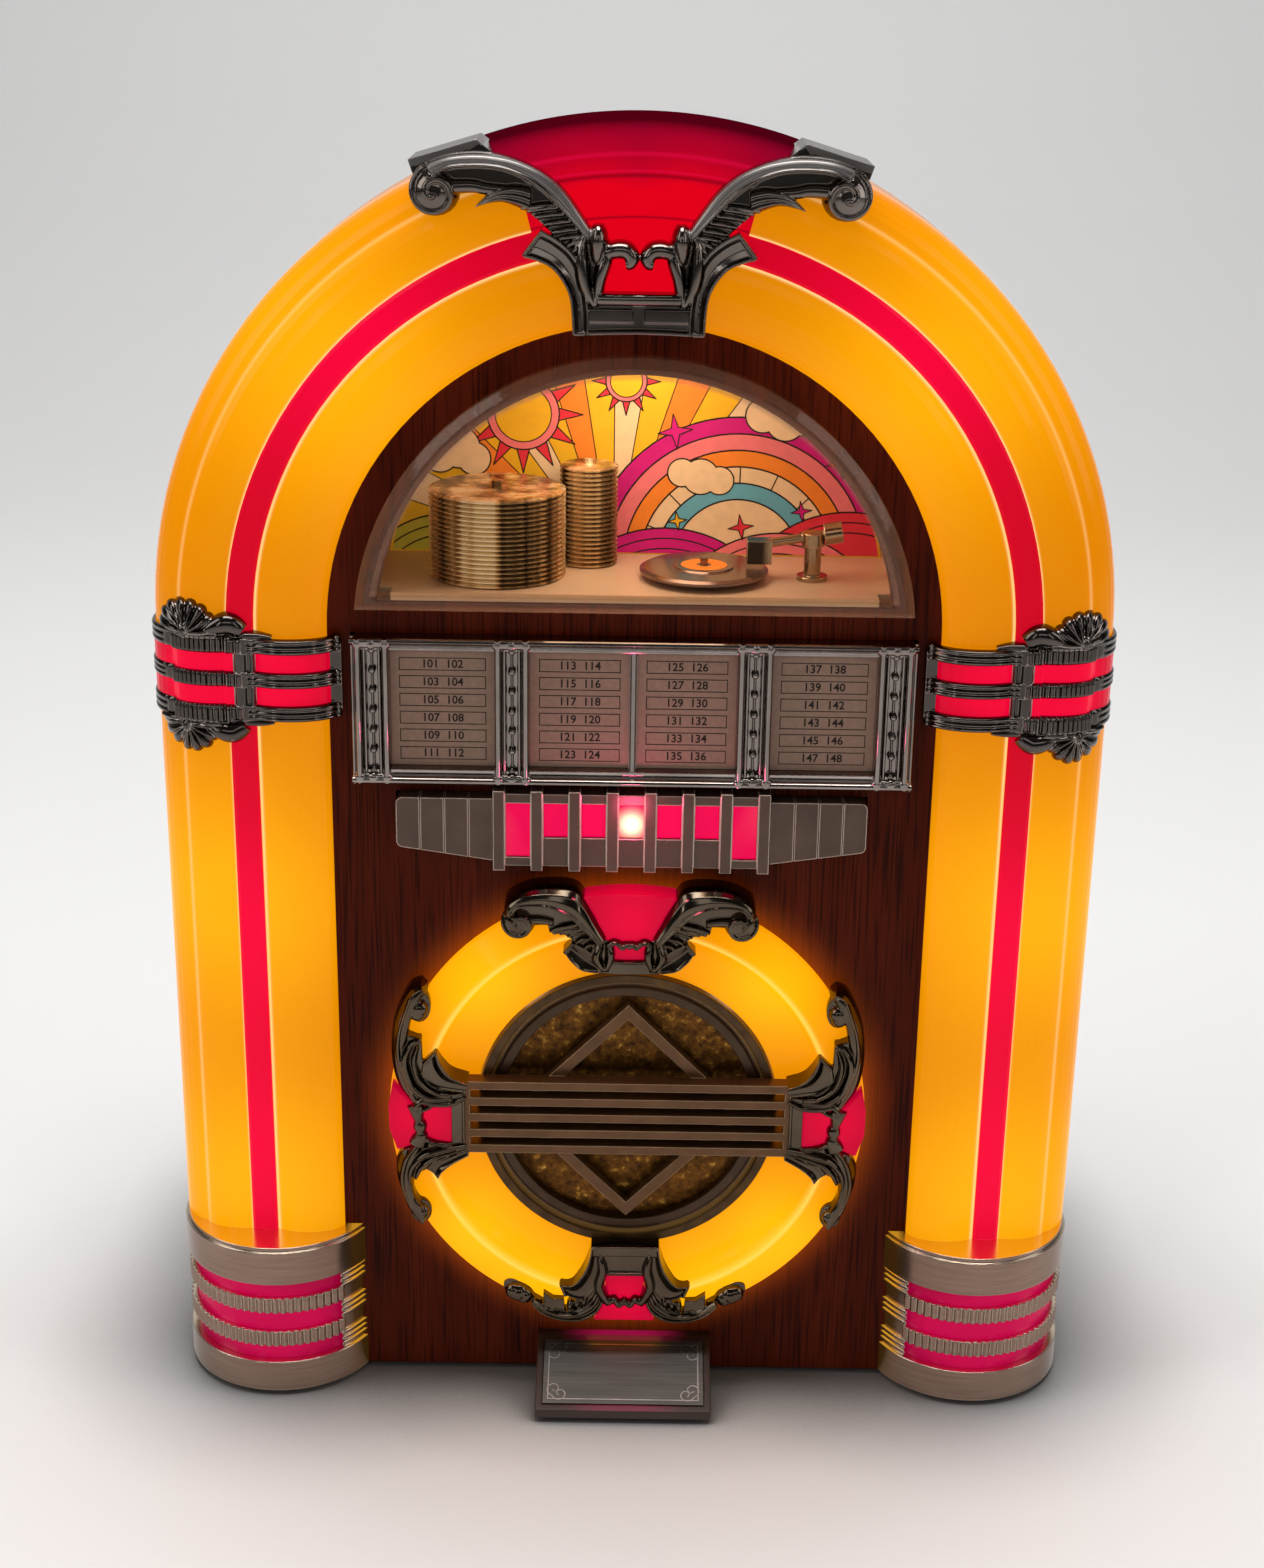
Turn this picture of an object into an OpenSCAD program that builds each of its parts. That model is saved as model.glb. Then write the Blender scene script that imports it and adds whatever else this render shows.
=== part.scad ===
// Tabletop jukebox radio: an arched wood cabinet with lit tube lenses, a record dome,
// a row of push keys, a round speaker grille and plated trim. All sizes in millimetres.
// Heights are counted from the surface that the radio stands on, and the front faces -Y.
// "Protrusion" is how far a point stands in front of the wood face of the front panel.

/* [Front panel] */
// Radius of the lit ring round the speaker
ring_r = 64; // [60:0.5:70]
// Wood left between the lit ring and the light tubes
panel_margin = 13.5; // [12:0.5:20]
// Thickness of the wood front panel
panel_t = 5; // [4:0.5:6]
// Height of the title frame
title_h = 39.3; // [36:0.1:46]
// Height of the window box between the push keys
key_box_h = 21.7; // [20:0.1:26]
// Width of one push key with its gap
key_pitch = 6.25; // [5.5:0.05:7]
// Travel of a push key
key_travel = 2; // [1:0.1:2.5]

/* [Light tubes] */
// Width of the inner rounded lobe of a tube
inner_lobe_w = 18; // [15:0.5:22]
// Width of the coloured stripe in a tube
stripe_w = 7; // [5.5:0.5:9]
// Width of the outer rounded lobe of a tube
outer_lobe_w = 12.5; // [10.5:0.5:16]
// Width of the rounded side of a tube
side_w = 7.7; // [6:0.1:9]
// Protrusion of the inner lobe
lobe_h = 5.2; // [4.6:0.1:6.5]
// How far a tube reaches back along the cabinet side
tube_depth = 42; // [36:1:48]
// Wall of a lens
lens_t = 2; // [1.4:0.1:2.3]

/* [Cabinet] */
// Depth from the wood face to the hindmost trim
body_depth = 120; // [112:1:150]
// Wall of the wood cabinet
wall = 5; // [4:0.5:7]
// How far the tubes stand out from the cabinet side
tube_lip = 10.7; // [9:0.1:12]
// Height of the rubber pads
pad_h = 1.5; // [1:0.1:4]
// Height of the plated feet
foot_h = 46; // [42:0.5:52]
// Radius of the round front of a foot
foot_r = 27.2; // [26:0.1:32]

/* [Plaque] */
// Height of the plaque where it meets the panel
plaque_h = 13; // [10:0.5:18]
// Reach of the plaque in front of the panel
plaque_reach = 25.6; // [20:0.1:34]
// Width of the plaque
plaque_w = 48; // [40:0.5:60]

/* [Speaker] */
// Radius of the rim round the speaker grille
rim_r = 40.3; // [38:0.1:42]
// Radius of the speaker magnet
magnet_r = 22; // [16:0.5:25]

/* [Controls] */
// Radius of the tuning and volume knobs
knob_r = 11; // [9:0.5:14]
// Radius of a knob's stem
stem_r = 3; // [2.5:0.1:4]

/* [Hidden] */
$fn = 96;
// Gap between pieces that are fitted to one another
fit = 0.1;
// Gap round a piece that moves, and between trim and the curved face under it
clear = 0.3;

// Trim round the ring and the gaps in the stack of fittings on the panel
trim_reach = 3;
plaque_gap = 3.4;
key_gap = 3.6;
title_gap = 1;
arch_gap = 0.5;

// Heights up the panel, each resting on the one below
ring_z = plaque_h + plaque_gap + trim_reach + ring_r;
key_z = ring_z + ring_r + trim_reach + key_gap;
title_z = key_z + key_box_h + title_gap;
arch_z = title_z + title_h + arch_gap;

// Radii of the arch, from the wood outward
panel_r = ring_r + panel_margin;
stripe_in = panel_r + inner_lobe_w;
stripe_out = stripe_in + stripe_w;
crease_r = stripe_out + outer_lobe_w;
tube_r = crease_r + side_w;
shell_r = tube_r - tube_lip;
seat_r = shell_r + fit;

// Depths: the whole part is centred between the plaque and the hindmost trim
panel_y = (plaque_reach - body_depth) / 2;
rear_trim = 2;
cover_t = 3;
shell_back = body_depth - rear_trim - cover_t;

// The tube section: two lobes with a groove for the stripe, and a rounded side
lobe_cut = 38;
edge_p = lobe_h * sin(lobe_cut);
groove_p = 1.5;
stripe_p = edge_p + 0.7;
lobe_a = inner_lobe_w / (1 + cos(lobe_cut));
lobe_c = [panel_r + lobe_a, 0];
shoulder = 108;
tail = 13;
outer_a = outer_lobe_w / (cos(tail) - cos(shoulder));
outer_b = edge_p / (sin(shoulder) - sin(tail));
outer_c = [stripe_out - outer_a * cos(shoulder), -outer_b * sin(tail)];
roll = 73;
crease_step = 0.4;
crease_drop = 0.5;
side_drop = 12;
side_a = (side_w - crease_step) / (1 - cos(roll));
side_b = (side_drop - crease_drop) / sin(roll);
side_c = [tube_r - side_a, -side_drop];

// The crown lens at the top of the arch, wider at its outer part than at its inner part
crown_half_low = 9.6;
crown_half_in = 14.5;
crown_half_out = 18.5;
crown_step_r = shell_r + 1;
crown_low_r = stripe_in - 0.4;
crown_rise = 1.8;
crown_r = tube_r + crown_rise;
crown_low_p = 3.4;
crown_high_p = 4.6;
crown_line_r = stripe_out - 0.8;
crown_crease_r = crease_r - 0.4;
crown_roll = 80;
crown_band = 4;
crown_a = (crown_r - crown_crease_r - crown_band) / (1 - cos(crown_roll));
crown_b = (side_drop + crown_high_p - 1.8) / sin(crown_roll);

// Record dome
dome_r = panel_r - 7.2;
dome_z = arch_z + 6.5;
dome_p = 7;
dome_wall = 3.6;
dome_pane = 1.6;
stage_depth = 44;
stage_t = 2;
stage_z = dome_z + 3.4;

// Feet
foot_x = panel_r + 18.7;
foot_back = 12.4;
foot_depth = tube_depth + 2;
foot_low = 10.5;
foot_high = foot_h - 11;
flutes = 32;
flute_sweep = 150;

// Clamps on the tubes
clamp_in = 1.8;
clamp_out = 3.5;
clamp_band_h = 4;
clamp_pitch = 8.75;
clamp_top = arch_z - 0.9;
clamp_bottom = clamp_top - clamp_band_h - 2 * clamp_pitch;
clamp_depth = 26;

// Ring lens and grille
ring_edge_p = 3.6;
crest_p = 7;
crest_r = ring_r - 9.5;
ring_in = rim_r + 0.5;
ring_in_p = 1.4;
rim_p = 3;
rim_back = -1.2;
cloth_t = 0.8;
rim_band = 6.6;
bar_h = 2.3;
bar_pitch = 4.7;
bar_p = 7.6;
bar_half = rim_r + 3.4;
diamond = 31.7;
diamond_w = 2.9;
reflector_depth = 20;

// Title frame
title_half = panel_r - 6;
title_p = 5;
title_bar = 4.4;
column_w = 9;
card_t = 1.2;

// Push keys and the window box between them
key_half = panel_r - 16.9;
box_half = key_half - 4 * key_pitch;
key_p = 4.6;
key_top = key_box_h - 2.3;
key_low_in = 2.4;
key_low_out = 6;
key_flange = 1.5;
key_lip = 0.9;
window_count = 7;
window_w = 6.3;
switch_h = 1.3;
board_t = 1.6;
board_p = panel_t + clear + key_flange + key_travel + clear + switch_h;

// Speaker behind the reflector
speaker_p = panel_t + reflector_depth;
speaker_depth = 24;
magnet_t = 12;

// Side controls: both knobs turn about X in the right cabinet wall
knob_t = 8;
knob_gap = 0.6;
knob_y = panel_y + (tube_depth + shell_back) / 2;
tuning_z = key_z - 4;
volume_z = tuning_z - 4 * knob_r;
control_t = 12;
control_w = 20;

// Places children on the panel: x stays, y becomes height and z becomes protrusion
module on_panel(p = 0) translate([0, panel_y - p, 0]) rotate([90, 0, 0]) children();

// Extrudes a panel outline between two protrusions
module slab(p0, p1) on_panel(p0) linear_extrude(p1 - p0) children();

// Makes a piece and its mirror image across the middle
module both_sides() {
    children();
    mirror([1, 0, 0]) children();
}

function reverse(list) = [for (i = [len(list) - 1:-1:0]) list[i]];
function ellipse(c, a, b, t0, t1, n) =
    [for (i = [0:n]) let (t = t0 + (t1 - t0) * i / n) [c[0] + a * cos(t), c[1] + b * sin(t)]];
function bezier(p, n) =
    [for (i = [0:n]) let (t = i / n, s = 1 - t)
        p[0] * s * s * s + p[1] * 3 * s * s * t + p[2] * 3 * s * t * t + p[3] * t * t * t];
function spiral(c, r0, r1, t0, t1, n) =
    [for (i = [0:n]) let (t = t0 + (t1 - t0) * i / n, r = r0 + (r1 - r0) * i / n)
        c + r * [cos(t), sin(t)]];

// Outline of the arch: a half disc on two straight sides
module arch_outline(r, z0) {
    translate([0, arch_z]) circle(r);
    translate([-r, z0]) square([2 * r, arch_z - z0]);
}

// Light tubes

// Section of a tube lens as radius and protrusion
module tube_section() {
    difference() {
        polygon(concat(
            ellipse(lobe_c, lobe_a, lobe_h, 180, lobe_cut, 10),
            [[stripe_in, groove_p], [stripe_out, groove_p]],
            ellipse(outer_c, outer_a, outer_b, shoulder, tail, 7),
            ellipse(side_c, side_a, side_b, roll, 0, 6),
            [[tube_r, -tube_depth], [seat_r, -tube_depth], [seat_r, 0]]));
        inner = ellipse(lobe_c, lobe_a - lens_t, lobe_h - lens_t, 180, 60, 8);
        polygon(concat(inner, [[inner[8][0], -1], [inner[0][0], -1]]));
        outer = ellipse(outer_c, outer_a - lens_t, outer_b - lens_t, 100, 20, 6);
        polygon(concat(outer,
            ellipse(side_c, side_a - lens_t, side_b - lens_t, 60, 0, 5),
            [[tube_r - lens_t, lens_t - tube_depth], [shell_r - 1, lens_t - tube_depth],
             [shell_r - 1, -1], [outer[0][0], -1]]));
    }
}

// Parts of the arch plane inside a radius and outside it
module inside_radius(r) translate([r / 2, -tube_depth - 1]) square([r / 2, 2 * tube_depth]);
module outside_radius(r) translate([r, -tube_depth - 1]) square([tube_r, 2 * tube_depth]);

// Turns a section about the arch centre, from one angle to another
module arch_turn(from, to) {
    on_panel() translate([0, arch_z]) rotate([0, 0, from]) rotate_extrude(angle = to - from) children();
}

// Runs a section down the right leg, from the arch to the top of the foot
module leg_run(z0, z1) translate([0, panel_y, z0]) linear_extrude(z1 - z0) mirror([0, 1]) children();

module tube_lens() {
    color("orange") difference() {
        union() {
            leg_run(foot_h, arch_z) tube_section();
            arch_turn(0, 90 - crown_half_low) tube_section();
        }
        arch_turn(90 - crown_half_in, 90) outside_radius(crown_low_r);
        arch_turn(90 - crown_half_out, 90) outside_radius(crown_step_r);
    }
}

module right_tube_lens() tube_lens();
module left_tube_lens() mirror([1, 0, 0]) tube_lens();

module stripe_section() {
    x0 = stripe_in + fit;
    x1 = stripe_out - fit;
    bevel = 0.8;
    polygon([[x0, groove_p], [x0, stripe_p - bevel], [x0 + bevel, stripe_p],
        [x1 - bevel, stripe_p], [x1, stripe_p - bevel], [x1, groove_p]]);
}

module tube_stripes() {
    color("crimson") both_sides() {
        leg_run(foot_h, arch_z) stripe_section();
        arch_turn(0, 90 - crown_half_in) stripe_section();
    }
}

// Face of the crown lens, grown by d
function crown_face(d) = concat(
    [[panel_r - d, 0], [panel_r - d, crown_low_p + d], [crown_line_r, crown_low_p + d],
     [crown_line_r + 0.5, crown_high_p + d], [crown_crease_r, crown_high_p + d],
     [crown_crease_r + 0.6, crown_high_p - 0.7 + d]],
    ellipse([crown_r - crown_a, -side_drop], crown_a + d, crown_b + d, crown_roll, 0, 7));

module crown_section() {
    difference() {
        polygon(concat(crown_face(0),
            [[crown_r, -tube_depth], [seat_r, -tube_depth], [seat_r, 0]]));
        polygon(concat(
            [[panel_r + lens_t, -1], [panel_r + lens_t, crown_low_p - lens_t],
             [crown_crease_r, crown_low_p - lens_t]],
            ellipse([crown_r - crown_a, -side_drop], crown_a - lens_t, crown_b - lens_t, 60, 0, 5),
            [[crown_r - lens_t, lens_t - tube_depth], [shell_r - 1, lens_t - tube_depth],
             [shell_r - 1, -1]]));
    }
}

module crown_lens() {
    color("crimson") difference() {
        arch_turn(90 - crown_half_out, 90 + crown_half_out) crown_section();
        for (a = [90 - crown_half_out - 1, 90 + crown_half_in])
            arch_turn(a, a + crown_half_out - crown_half_in + 1) inside_radius(crown_step_r);
        for (a = [90 - crown_half_in - 1, 90 + crown_half_low])
            arch_turn(a, a + crown_half_in - crown_half_low + 1) inside_radius(crown_low_r);
    }
}

// Path over a tube at distance d from its face and less on its side, bridging the stripe
side_share = 0.45;
function tube_path(d) = let (
    near = stripe_in - clear,
    far = stripe_out + clear,
    t0 = acos((near - lobe_c[0]) / (lobe_a + d)),
    t1 = acos((far - outer_c[0]) / (outer_a + d))
) concat(
    ellipse(lobe_c, lobe_a + d, lobe_h + d, 180, t0, 9),
    [[near, stripe_p + d], [far, stripe_p + d]],
    ellipse(outer_c, outer_a + d, outer_b + d, t1, 30, 6),
    ellipse(side_c, side_a + side_share * d, side_b + side_share * d, 66, 0, 6));

// Solid outer form of a tube and of the crown, grown by d, that trim is cut to fit
module tube_form(d) polygon(concat(tube_path(d), [[tube_r + side_share * d, -tube_depth], [panel_r - d, -tube_depth]]));
module crown_form(d) polygon(concat(crown_face(d), [[crown_r + d, -tube_depth], [panel_r - d, -tube_depth]]));

// Trim with swept scrolls and leaves

// Value at t of a curve through a start, a middle and an end value
function swell(v, t) = v[0] * (1 - t) * (1 - 2 * t) + v[1] * 4 * t * (1 - t) + v[2] * t * (2 * t - 1);

// A raised rib with a half-round section along a path on the panel
module rib(path, w, h, base, back) {
    n = len(path);
    steps = 4;
    k = steps + 3;
    points = [for (i = [0:n - 1]) let (
            t = i / (n - 1),
            along = path[min(i + 1, n - 1)] - path[max(i - 1, 0)],
            across = [-along[1], along[0]] / norm(along),
            half = swell(w, t))
        each concat(
            [for (j = [0:steps]) let (a = 180 * j / steps, q = path[i] + across * half * cos(a))
                [q[0], q[1], base + swell(h, t) * sin(a)]],
            [for (s = [-1, 1]) let (q = path[i] + across * half * s) [q[0], q[1], back]])];
    sides = [for (i = [0:n - 2], j = [0:k - 1])
        [i * k + j, (i + 1) * k + j, (i + 1) * k + (j + 1) % k, i * k + (j + 1) % k]];
    caps = [[for (j = [0:k - 1]) j], [for (j = [k - 1:-1:0]) (n - 1) * k + j]];
    polyhedron(points, concat(sides, caps));
}

// A tapered vein between two points of a leaf
module vein(a, b, p0, p1, r0, r1) {
    hull() {
        translate([a[0], a[1], p0]) sphere(r0, $fn = 6);
        translate([b[0], b[1], p1]) sphere(r1, $fn = 6);
    }
}

// A flat-backed plate of trim between two protrusions
module plate(points, p0, p1) translate([0, 0, p0]) linear_extrude(p1 - p0) polygon(points);

// Points of the crown trim, counted from just under the crown's top and from the edge of the wood
crown_line = crown_r - 2.5;
function from_top(x, z) = [x, arch_z + crown_line + z];
function from_wood(x, z) = [x, arch_z + panel_r + z];

crown_base = lobe_h + 1.2;
crown_back = -side_drop + 4;
wing_curve = [from_top(-48.1, -6.9), from_top(-36, -3.4), from_top(-21, -8.3), from_top(-10.3, -23)];

// Cuts trim to lie on the tubes, the crown and the panel
module on_crown() {
    difference() {
        children();
        arch_turn(60, 90 - crown_half_low, $fn = 144) tube_form(clear);
        arch_turn(90 + crown_half_low, 120, $fn = 144) tube_form(clear);
        arch_turn(90 - crown_half_out - 0.2, 90 + crown_half_out + 0.2, $fn = 144) crown_form(clear);
        on_panel(-side_drop) translate([-panel_r, arch_z]) cube([2 * panel_r, panel_r + 1, side_drop + fit]);
    }
}

module crown_wing() {
    eye = from_top(-48.1, -13.1);
    scroll = spiral(eye, 1.1, 6.2, 600, 90, 20);
    rim = bezier(wing_curve, 12);
    leaf = [from_top(-34, -12.3), from_top(-38.8, -16.6), from_top(-31, -17.2), from_top(-25, -20.6),
        from_top(-20, -25), from_top(-15.5, -29.5), from_top(-10.5, -30)];
    // rim with its scroll, and the leaf under it
    rib(concat(scroll, [for (i = [1:12]) rim[i]]), [0.8, 2.5, 1.2], [3.4, 4, 3], crown_base, crown_back);
    translate([eye[0], eye[1], crown_base - 1]) cylinder(h = 3.2, r = 5.4, $fn = 24);
    plate(concat([for (i = [2:11]) rim[i]], reverse(leaf), [from_top(-42.5, -12)]), crown_back, crown_base + 0.9);
    for (i = [0:7]) {
        t = i / 7;
        root = from_top(-33 + 21 * t, -11.4 - 14 * t * t);
        tip = from_top(-36.5 + 22 * t, -16.2 - 11.6 * t);
        vein(root, tip, crown_base + 1, crown_base + 0.6, 0.75, 0.95);
    }
    // ear lying on the tube behind the scroll
    translate([0, arch_z, -16]) intersection() {
        rotate([0, 0, 108.8]) rotate_extrude(angle = 6.8) translate([tube_r - 3, 0]) square([10.3, 21]);
        translate([-tube_r, 0, 0]) cube([tube_r, crown_r + clear, 21]);
    }
    // almond-shaped pillar with two ribs
    rib(bezier([from_wood(-9.9, 2.1), from_wood(-11.6, 9), from_top(-11.4, -27), from_top(-8.9, -20.1)], 8),
        [0.5, 1.5, 0.5], [0.8, 3.6, 1], crown_base - 0.13, 0);
    rib(bezier([from_wood(-8.7, 2.7), from_wood(-8.1, 9.4), from_top(-7.6, -27), from_top(-7.9, -20.9)], 7),
        [0.5, 1.4, 0.5], [0.9, 4, 1.1], crown_base + 0.09, 0);
    // flare that hooks over the stripe
    flare = [from_wood(-15.4, -1.9), from_wood(-14.9, 5.8), from_wood(-19, 14.2), from_wood(-26.6, 17.7),
        from_wood(-24, 23), from_wood(-17.4, 18.6), from_wood(-12.4, 14), from_wood(-9.4, 2.5)];
    plate(flare, 0, crown_base + 1.2);
    rib(bezier([from_wood(-25, 20.2), from_wood(-17.5, 17.5), from_wood(-13, 10), from_wood(-13, 1)], 8),
        [2.6, 2, 1.2], [0.8, 1.6, 0.4], crown_base + 1, 0);
    // curl over the small window
    rib(bezier([from_wood(-7.6, 15.9), from_wood(-5.8, 21.8), from_wood(-1, 21.6), from_wood(-0.9, 15.6)], 7),
        [1.1, 1.6, 0.7], [1.6, 2.9, 1.6], crown_base - 1.2, 0);
}

module crown_ornament() {
    bar = [8.3, 2.9];
    color("dimgray") on_crown() {
        on_panel() {
            both_sides() crown_wing();
            plate([from_wood(-15.4, -1.9), from_wood(0, -1.2), from_wood(15.4, -1.9),
                from_wood(10, 9), from_wood(-10, 9)], 0, crown_base);
            translate(concat(from_wood(-9.6, 6.2), 0)) cube([19.2, 2.8, crown_base + 1.6]);
            for (x = [-11.7, 11.7 - bar[0]])
                translate(concat(from_wood(x, 1.6), 0)) cube([bar[0], bar[1], crown_base + 1.2]);
        }
    }
}

// Feet

// Plan of the right foot, set in by an amount, with the cabinet corner left out
module foot_plan(inset) {
    difference() {
        union() {
            translate([foot_x, -foot_back]) circle(foot_r - inset);
            translate([foot_x, -foot_depth]) square([foot_r - inset, foot_depth - foot_back]);
        }
        translate([-shell_r, -body_depth]) square([2 * shell_r, body_depth]);
    }
}

// Plan with a fluted round front
module fluted_plan(inset, depth) {
    n = 4 * flutes;
    difference() {
        union() {
            translate([foot_x, -foot_back]) polygon(concat([[0, 0]],
                [for (i = [0:n]) let (t = flute_sweep * i / n, r = foot_r - inset - depth * (1 - abs(sin(45 * i))))
                    r * [cos(t), sin(t)]]));
            translate([foot_x, -foot_depth]) square([foot_r - inset, foot_depth - foot_back]);
        }
        translate([-shell_r, -body_depth]) square([2 * shell_r, body_depth]);
    }
}

// Ends of the foot's window: a post by the panel and one at the back
module foot_posts(extra) {
    translate([0, 0]) square([foot_x - 18 + extra, foot_r]);
    translate([shell_r, -foot_depth]) square([foot_r, 5 + extra]);
}

module plan_run(z0, z1) translate([0, panel_y, z0]) linear_extrude(z1 - z0) mirror([0, 1]) children();

module foot() {
    lens_room = 4;
    band_t = 2;
    rib_t = 0.9;
    rib_pitch = 1.7;
    color("silver") {
        plan_run(pad_h, foot_low) foot_plan(0);
        plan_run(foot_low, foot_high) foot_plan(lens_room);
        plan_run(foot_high, foot_h - 1.2) foot_plan(0);
        plan_run(foot_h - 1.2, foot_h) foot_plan(0.6);
        plan_run(foot_low, foot_high) intersection() {
            foot_plan(1);
            foot_posts(0);
        }
        // horizontal ribs on the post by the panel
        for (band = [0:2], i = [0:2]) {
            z = foot_low + 1.2 + band * (foot_high - foot_low - 6) / 2 + i * rib_pitch;
            plan_run(z, z + rib_t) intersection() {
                foot_plan(0.2);
                translate([0, 0]) square([foot_x - 18, foot_r]);
            }
        }
        // two fluted bands in front of the lens
        for (z = [foot_low + 4.9, foot_high - 9.2]) plan_run(z, z + 4.4) difference() {
            fluted_plan(0.3, 0.7);
            foot_plan(band_t);
            foot_posts(-0.6);
        }
    }
}

module right_foot() foot();
module left_foot() mirror([1, 0, 0]) foot();

module foot_lenses() {
    color("mediumvioletred") both_sides() plan_run(foot_low + fit, foot_high - fit) difference() {
        foot_plan(2 + fit);
        foot_plan(4 - fit);
        foot_posts(fit);
    }
}

// Clamps

// Fluted path over the outer lobe of a tube
function fluted_path(d, depth) = let (
    t1 = acos((stripe_out + clear - outer_c[0]) / (outer_a + d)),
    n = 28
) [for (i = [0:n]) let (t = t1 + (30 - t1) * i / n, e = d - depth * (1 - abs(sin(90 * i))))
    [outer_c[0] + (outer_a + e) * cos(t), outer_c[1] + (outer_b + e) * sin(t)]];

// Section of a band that wraps the tube between two distances from its face
module wrap_section(d0, d1, depth = 0) {
    near = stripe_in - clear;
    face = concat(
        ellipse(lobe_c, lobe_a + d1, lobe_h + d1, 180, acos((near - lobe_c[0]) / (lobe_a + d1)), 9),
        [[near, stripe_p + d1], [stripe_out + clear, stripe_p + d1]],
        fluted_path(d1, depth),
        ellipse(side_c, side_a + side_share * d1, side_b + side_share * d1, 66, 0, 6));
    polygon(concat(face, [[tube_r + side_share * d1, -clamp_depth], [tube_r + side_share * d0, -clamp_depth]],
        reverse(tube_path(d0))));
}

module clamp() {
    joint_w = 4.5;
    post_w = 5;
    color("dimgray") {
        for (i = [0:2]) {
            z = clamp_bottom + i * clamp_pitch;
            leg_run(z, z + clamp_band_h) wrap_section(clamp_in, clamp_out, 0.4);
        }
        leg_run(clamp_bottom, clamp_top) translate([stripe_in + 1, stripe_p + clamp_in])
            square([joint_w, clamp_out - clamp_in - 0.5]);
        leg_run(clamp_bottom, clamp_top) intersection() {
            wrap_section(clamp_in, clamp_out - 0.8);
            translate([panel_r - post_w, 0]) square([post_w, post_w]);
        }
    }
}

module right_clamp() clamp();
module left_clamp() mirror([1, 0, 0]) clamp();

module clamp_lenses() {
    color("crimson") both_sides() leg_run(clamp_bottom + 1, clamp_top - 1)
        wrap_section(clear, clamp_in - clear);
}

// Protrusion of the outer side of a tube at a radius
function tube_face(r) = r < crease_r
    ? outer_c[1] + outer_b * sqrt(max(0, 1 - pow((r - outer_c[0]) / outer_a, 2)))
    : side_c[1] + side_b * sqrt(max(0, 1 - pow((r - side_c[0]) / side_a, 2)));

// A scallop shell that stands on a clamp, with a leaf beside it; up is 1 or -1
module scallop(up, z) {
    x = crease_r - 3;
    spread = 6;
    for (i = [0:spread]) {
        a = 8 + 164 * i / spread;
        reach = 7.6 - 1.6 * pow(cos(a), 2);
        tip = [min(x + reach * cos(a), tube_r - 0.5), z + up * (1.2 + reach * sin(a))];
        vein([x + 1.5 * cos(a), z + up * 1.4], tip, tube_face(x) + 2.6, tube_face(tip[0]) + 0.9, 1.3, 1.5);
    }
    leaf = [[stripe_out + 4.5, z + up * 1.5], [stripe_out + 1, z + up * 5.2], [stripe_in + 1.5, z + up * 5.6],
        [stripe_in + 0.8, z + up * 0.6]];
    rib(bezier(leaf, 8), [1.6, 2.2, 0.7], [1.4, 2, 0.8], stripe_p + clear + 0.4, 0);
}

// Cuts trim to lie on the right tube, above and below its clamp
module on_leg() {
    difference() {
        children();
        leg_run(clamp_bottom - 20, clamp_top + 20) tube_form(clear);
        leg_run(clamp_bottom - fit, clamp_top + fit) translate([panel_r, -clamp_depth])
            square([tube_r, clamp_depth + lobe_h + 8]);
    }
}

module clamp_shells() {
    color("dimgray") both_sides() on_leg() on_panel() {
        scallop(1, clamp_top);
        scallop(-1, clamp_bottom);
    }
}

// Record dome

// Half disc above a height
module half_disc(r, z0) {
    intersection() {
        translate([0, arch_z]) circle(r);
        translate([-r, z0]) square([2 * r, arch_z + r - z0]);
    }
}

module dome_cover() {
    bevel = 2.4;
    color("wheat", 0.4) difference() {
        intersection() {
            on_panel() translate([0, arch_z]) rotate_extrude()
                polygon([[0, 0], [dome_r, 0], [dome_r, dome_p - bevel], [dome_r - bevel, dome_p], [0, dome_p]]);
            translate([-dome_r, panel_y, dome_z]) rotate([0, -90, 180]) linear_extrude(2 * dome_r)
                polygon([[0, 0], [0, dome_p - bevel], [bevel, dome_p], [dome_r, dome_p], [dome_r, 0]]);
        }
        slab(-1, dome_p - dome_pane) half_disc(dome_r - dome_wall, dome_z + dome_wall);
    }
}

module dome_housing() {
    r = dome_r - 1.5;
    tongue = dome_r - 9;
    color("mistyrose") {
        difference() {
            slab(-stage_depth - stage_t, -panel_t) half_disc(r, stage_z - stage_t);
            slab(-stage_depth, 0) half_disc(r - stage_t, stage_z);
        }
        slab(-panel_t, 0) translate([-tongue, stage_z - stage_t]) square([2 * tongue, stage_t]);
    }
}

module backdrop_card() {
    color("gold") slab(-stage_depth, 0.8 - stage_depth)
        half_disc(dome_r - 1.5 - stage_t - clear, stage_z);
}

// A stack of records: a column with ridged sides
module stack(r, count, pitch, groove) {
    rotate_extrude() polygon(concat([[0, 0]],
        [for (i = [0:count - 1]) each [[r - groove, i * pitch], [r, (i + 0.35) * pitch],
            [r, (i + 0.65) * pitch], [r - groove, (i + 1) * pitch]]],
        [[0, count * pitch]]));
}

stack_r = 17.6;
stack_x = -35.6;
stack_y = panel_y + 21;
stack_pitch = 1.2;
stack_count = 19;

module record_stacks() {
    small_r = 7.6;
    color("goldenrod") {
        translate([stack_x, stack_y, stage_z]) {
            stack(stack_r, stack_count, stack_pitch, 1.1);
            cylinder(h = stack_count * stack_pitch + 1.6, r = 1.4);
        }
        translate([stack_x + stack_r + small_r - 2, stack_y + 12.5, stage_z]) {
            stack(small_r, stack_count + 3, stack_pitch, 1);
            cylinder(h = (stack_count + 3) * stack_pitch + 1.4, r = 1.2);
        }
    }
}

turntable_x = 17.7;
turntable_y = panel_y + 19;

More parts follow.
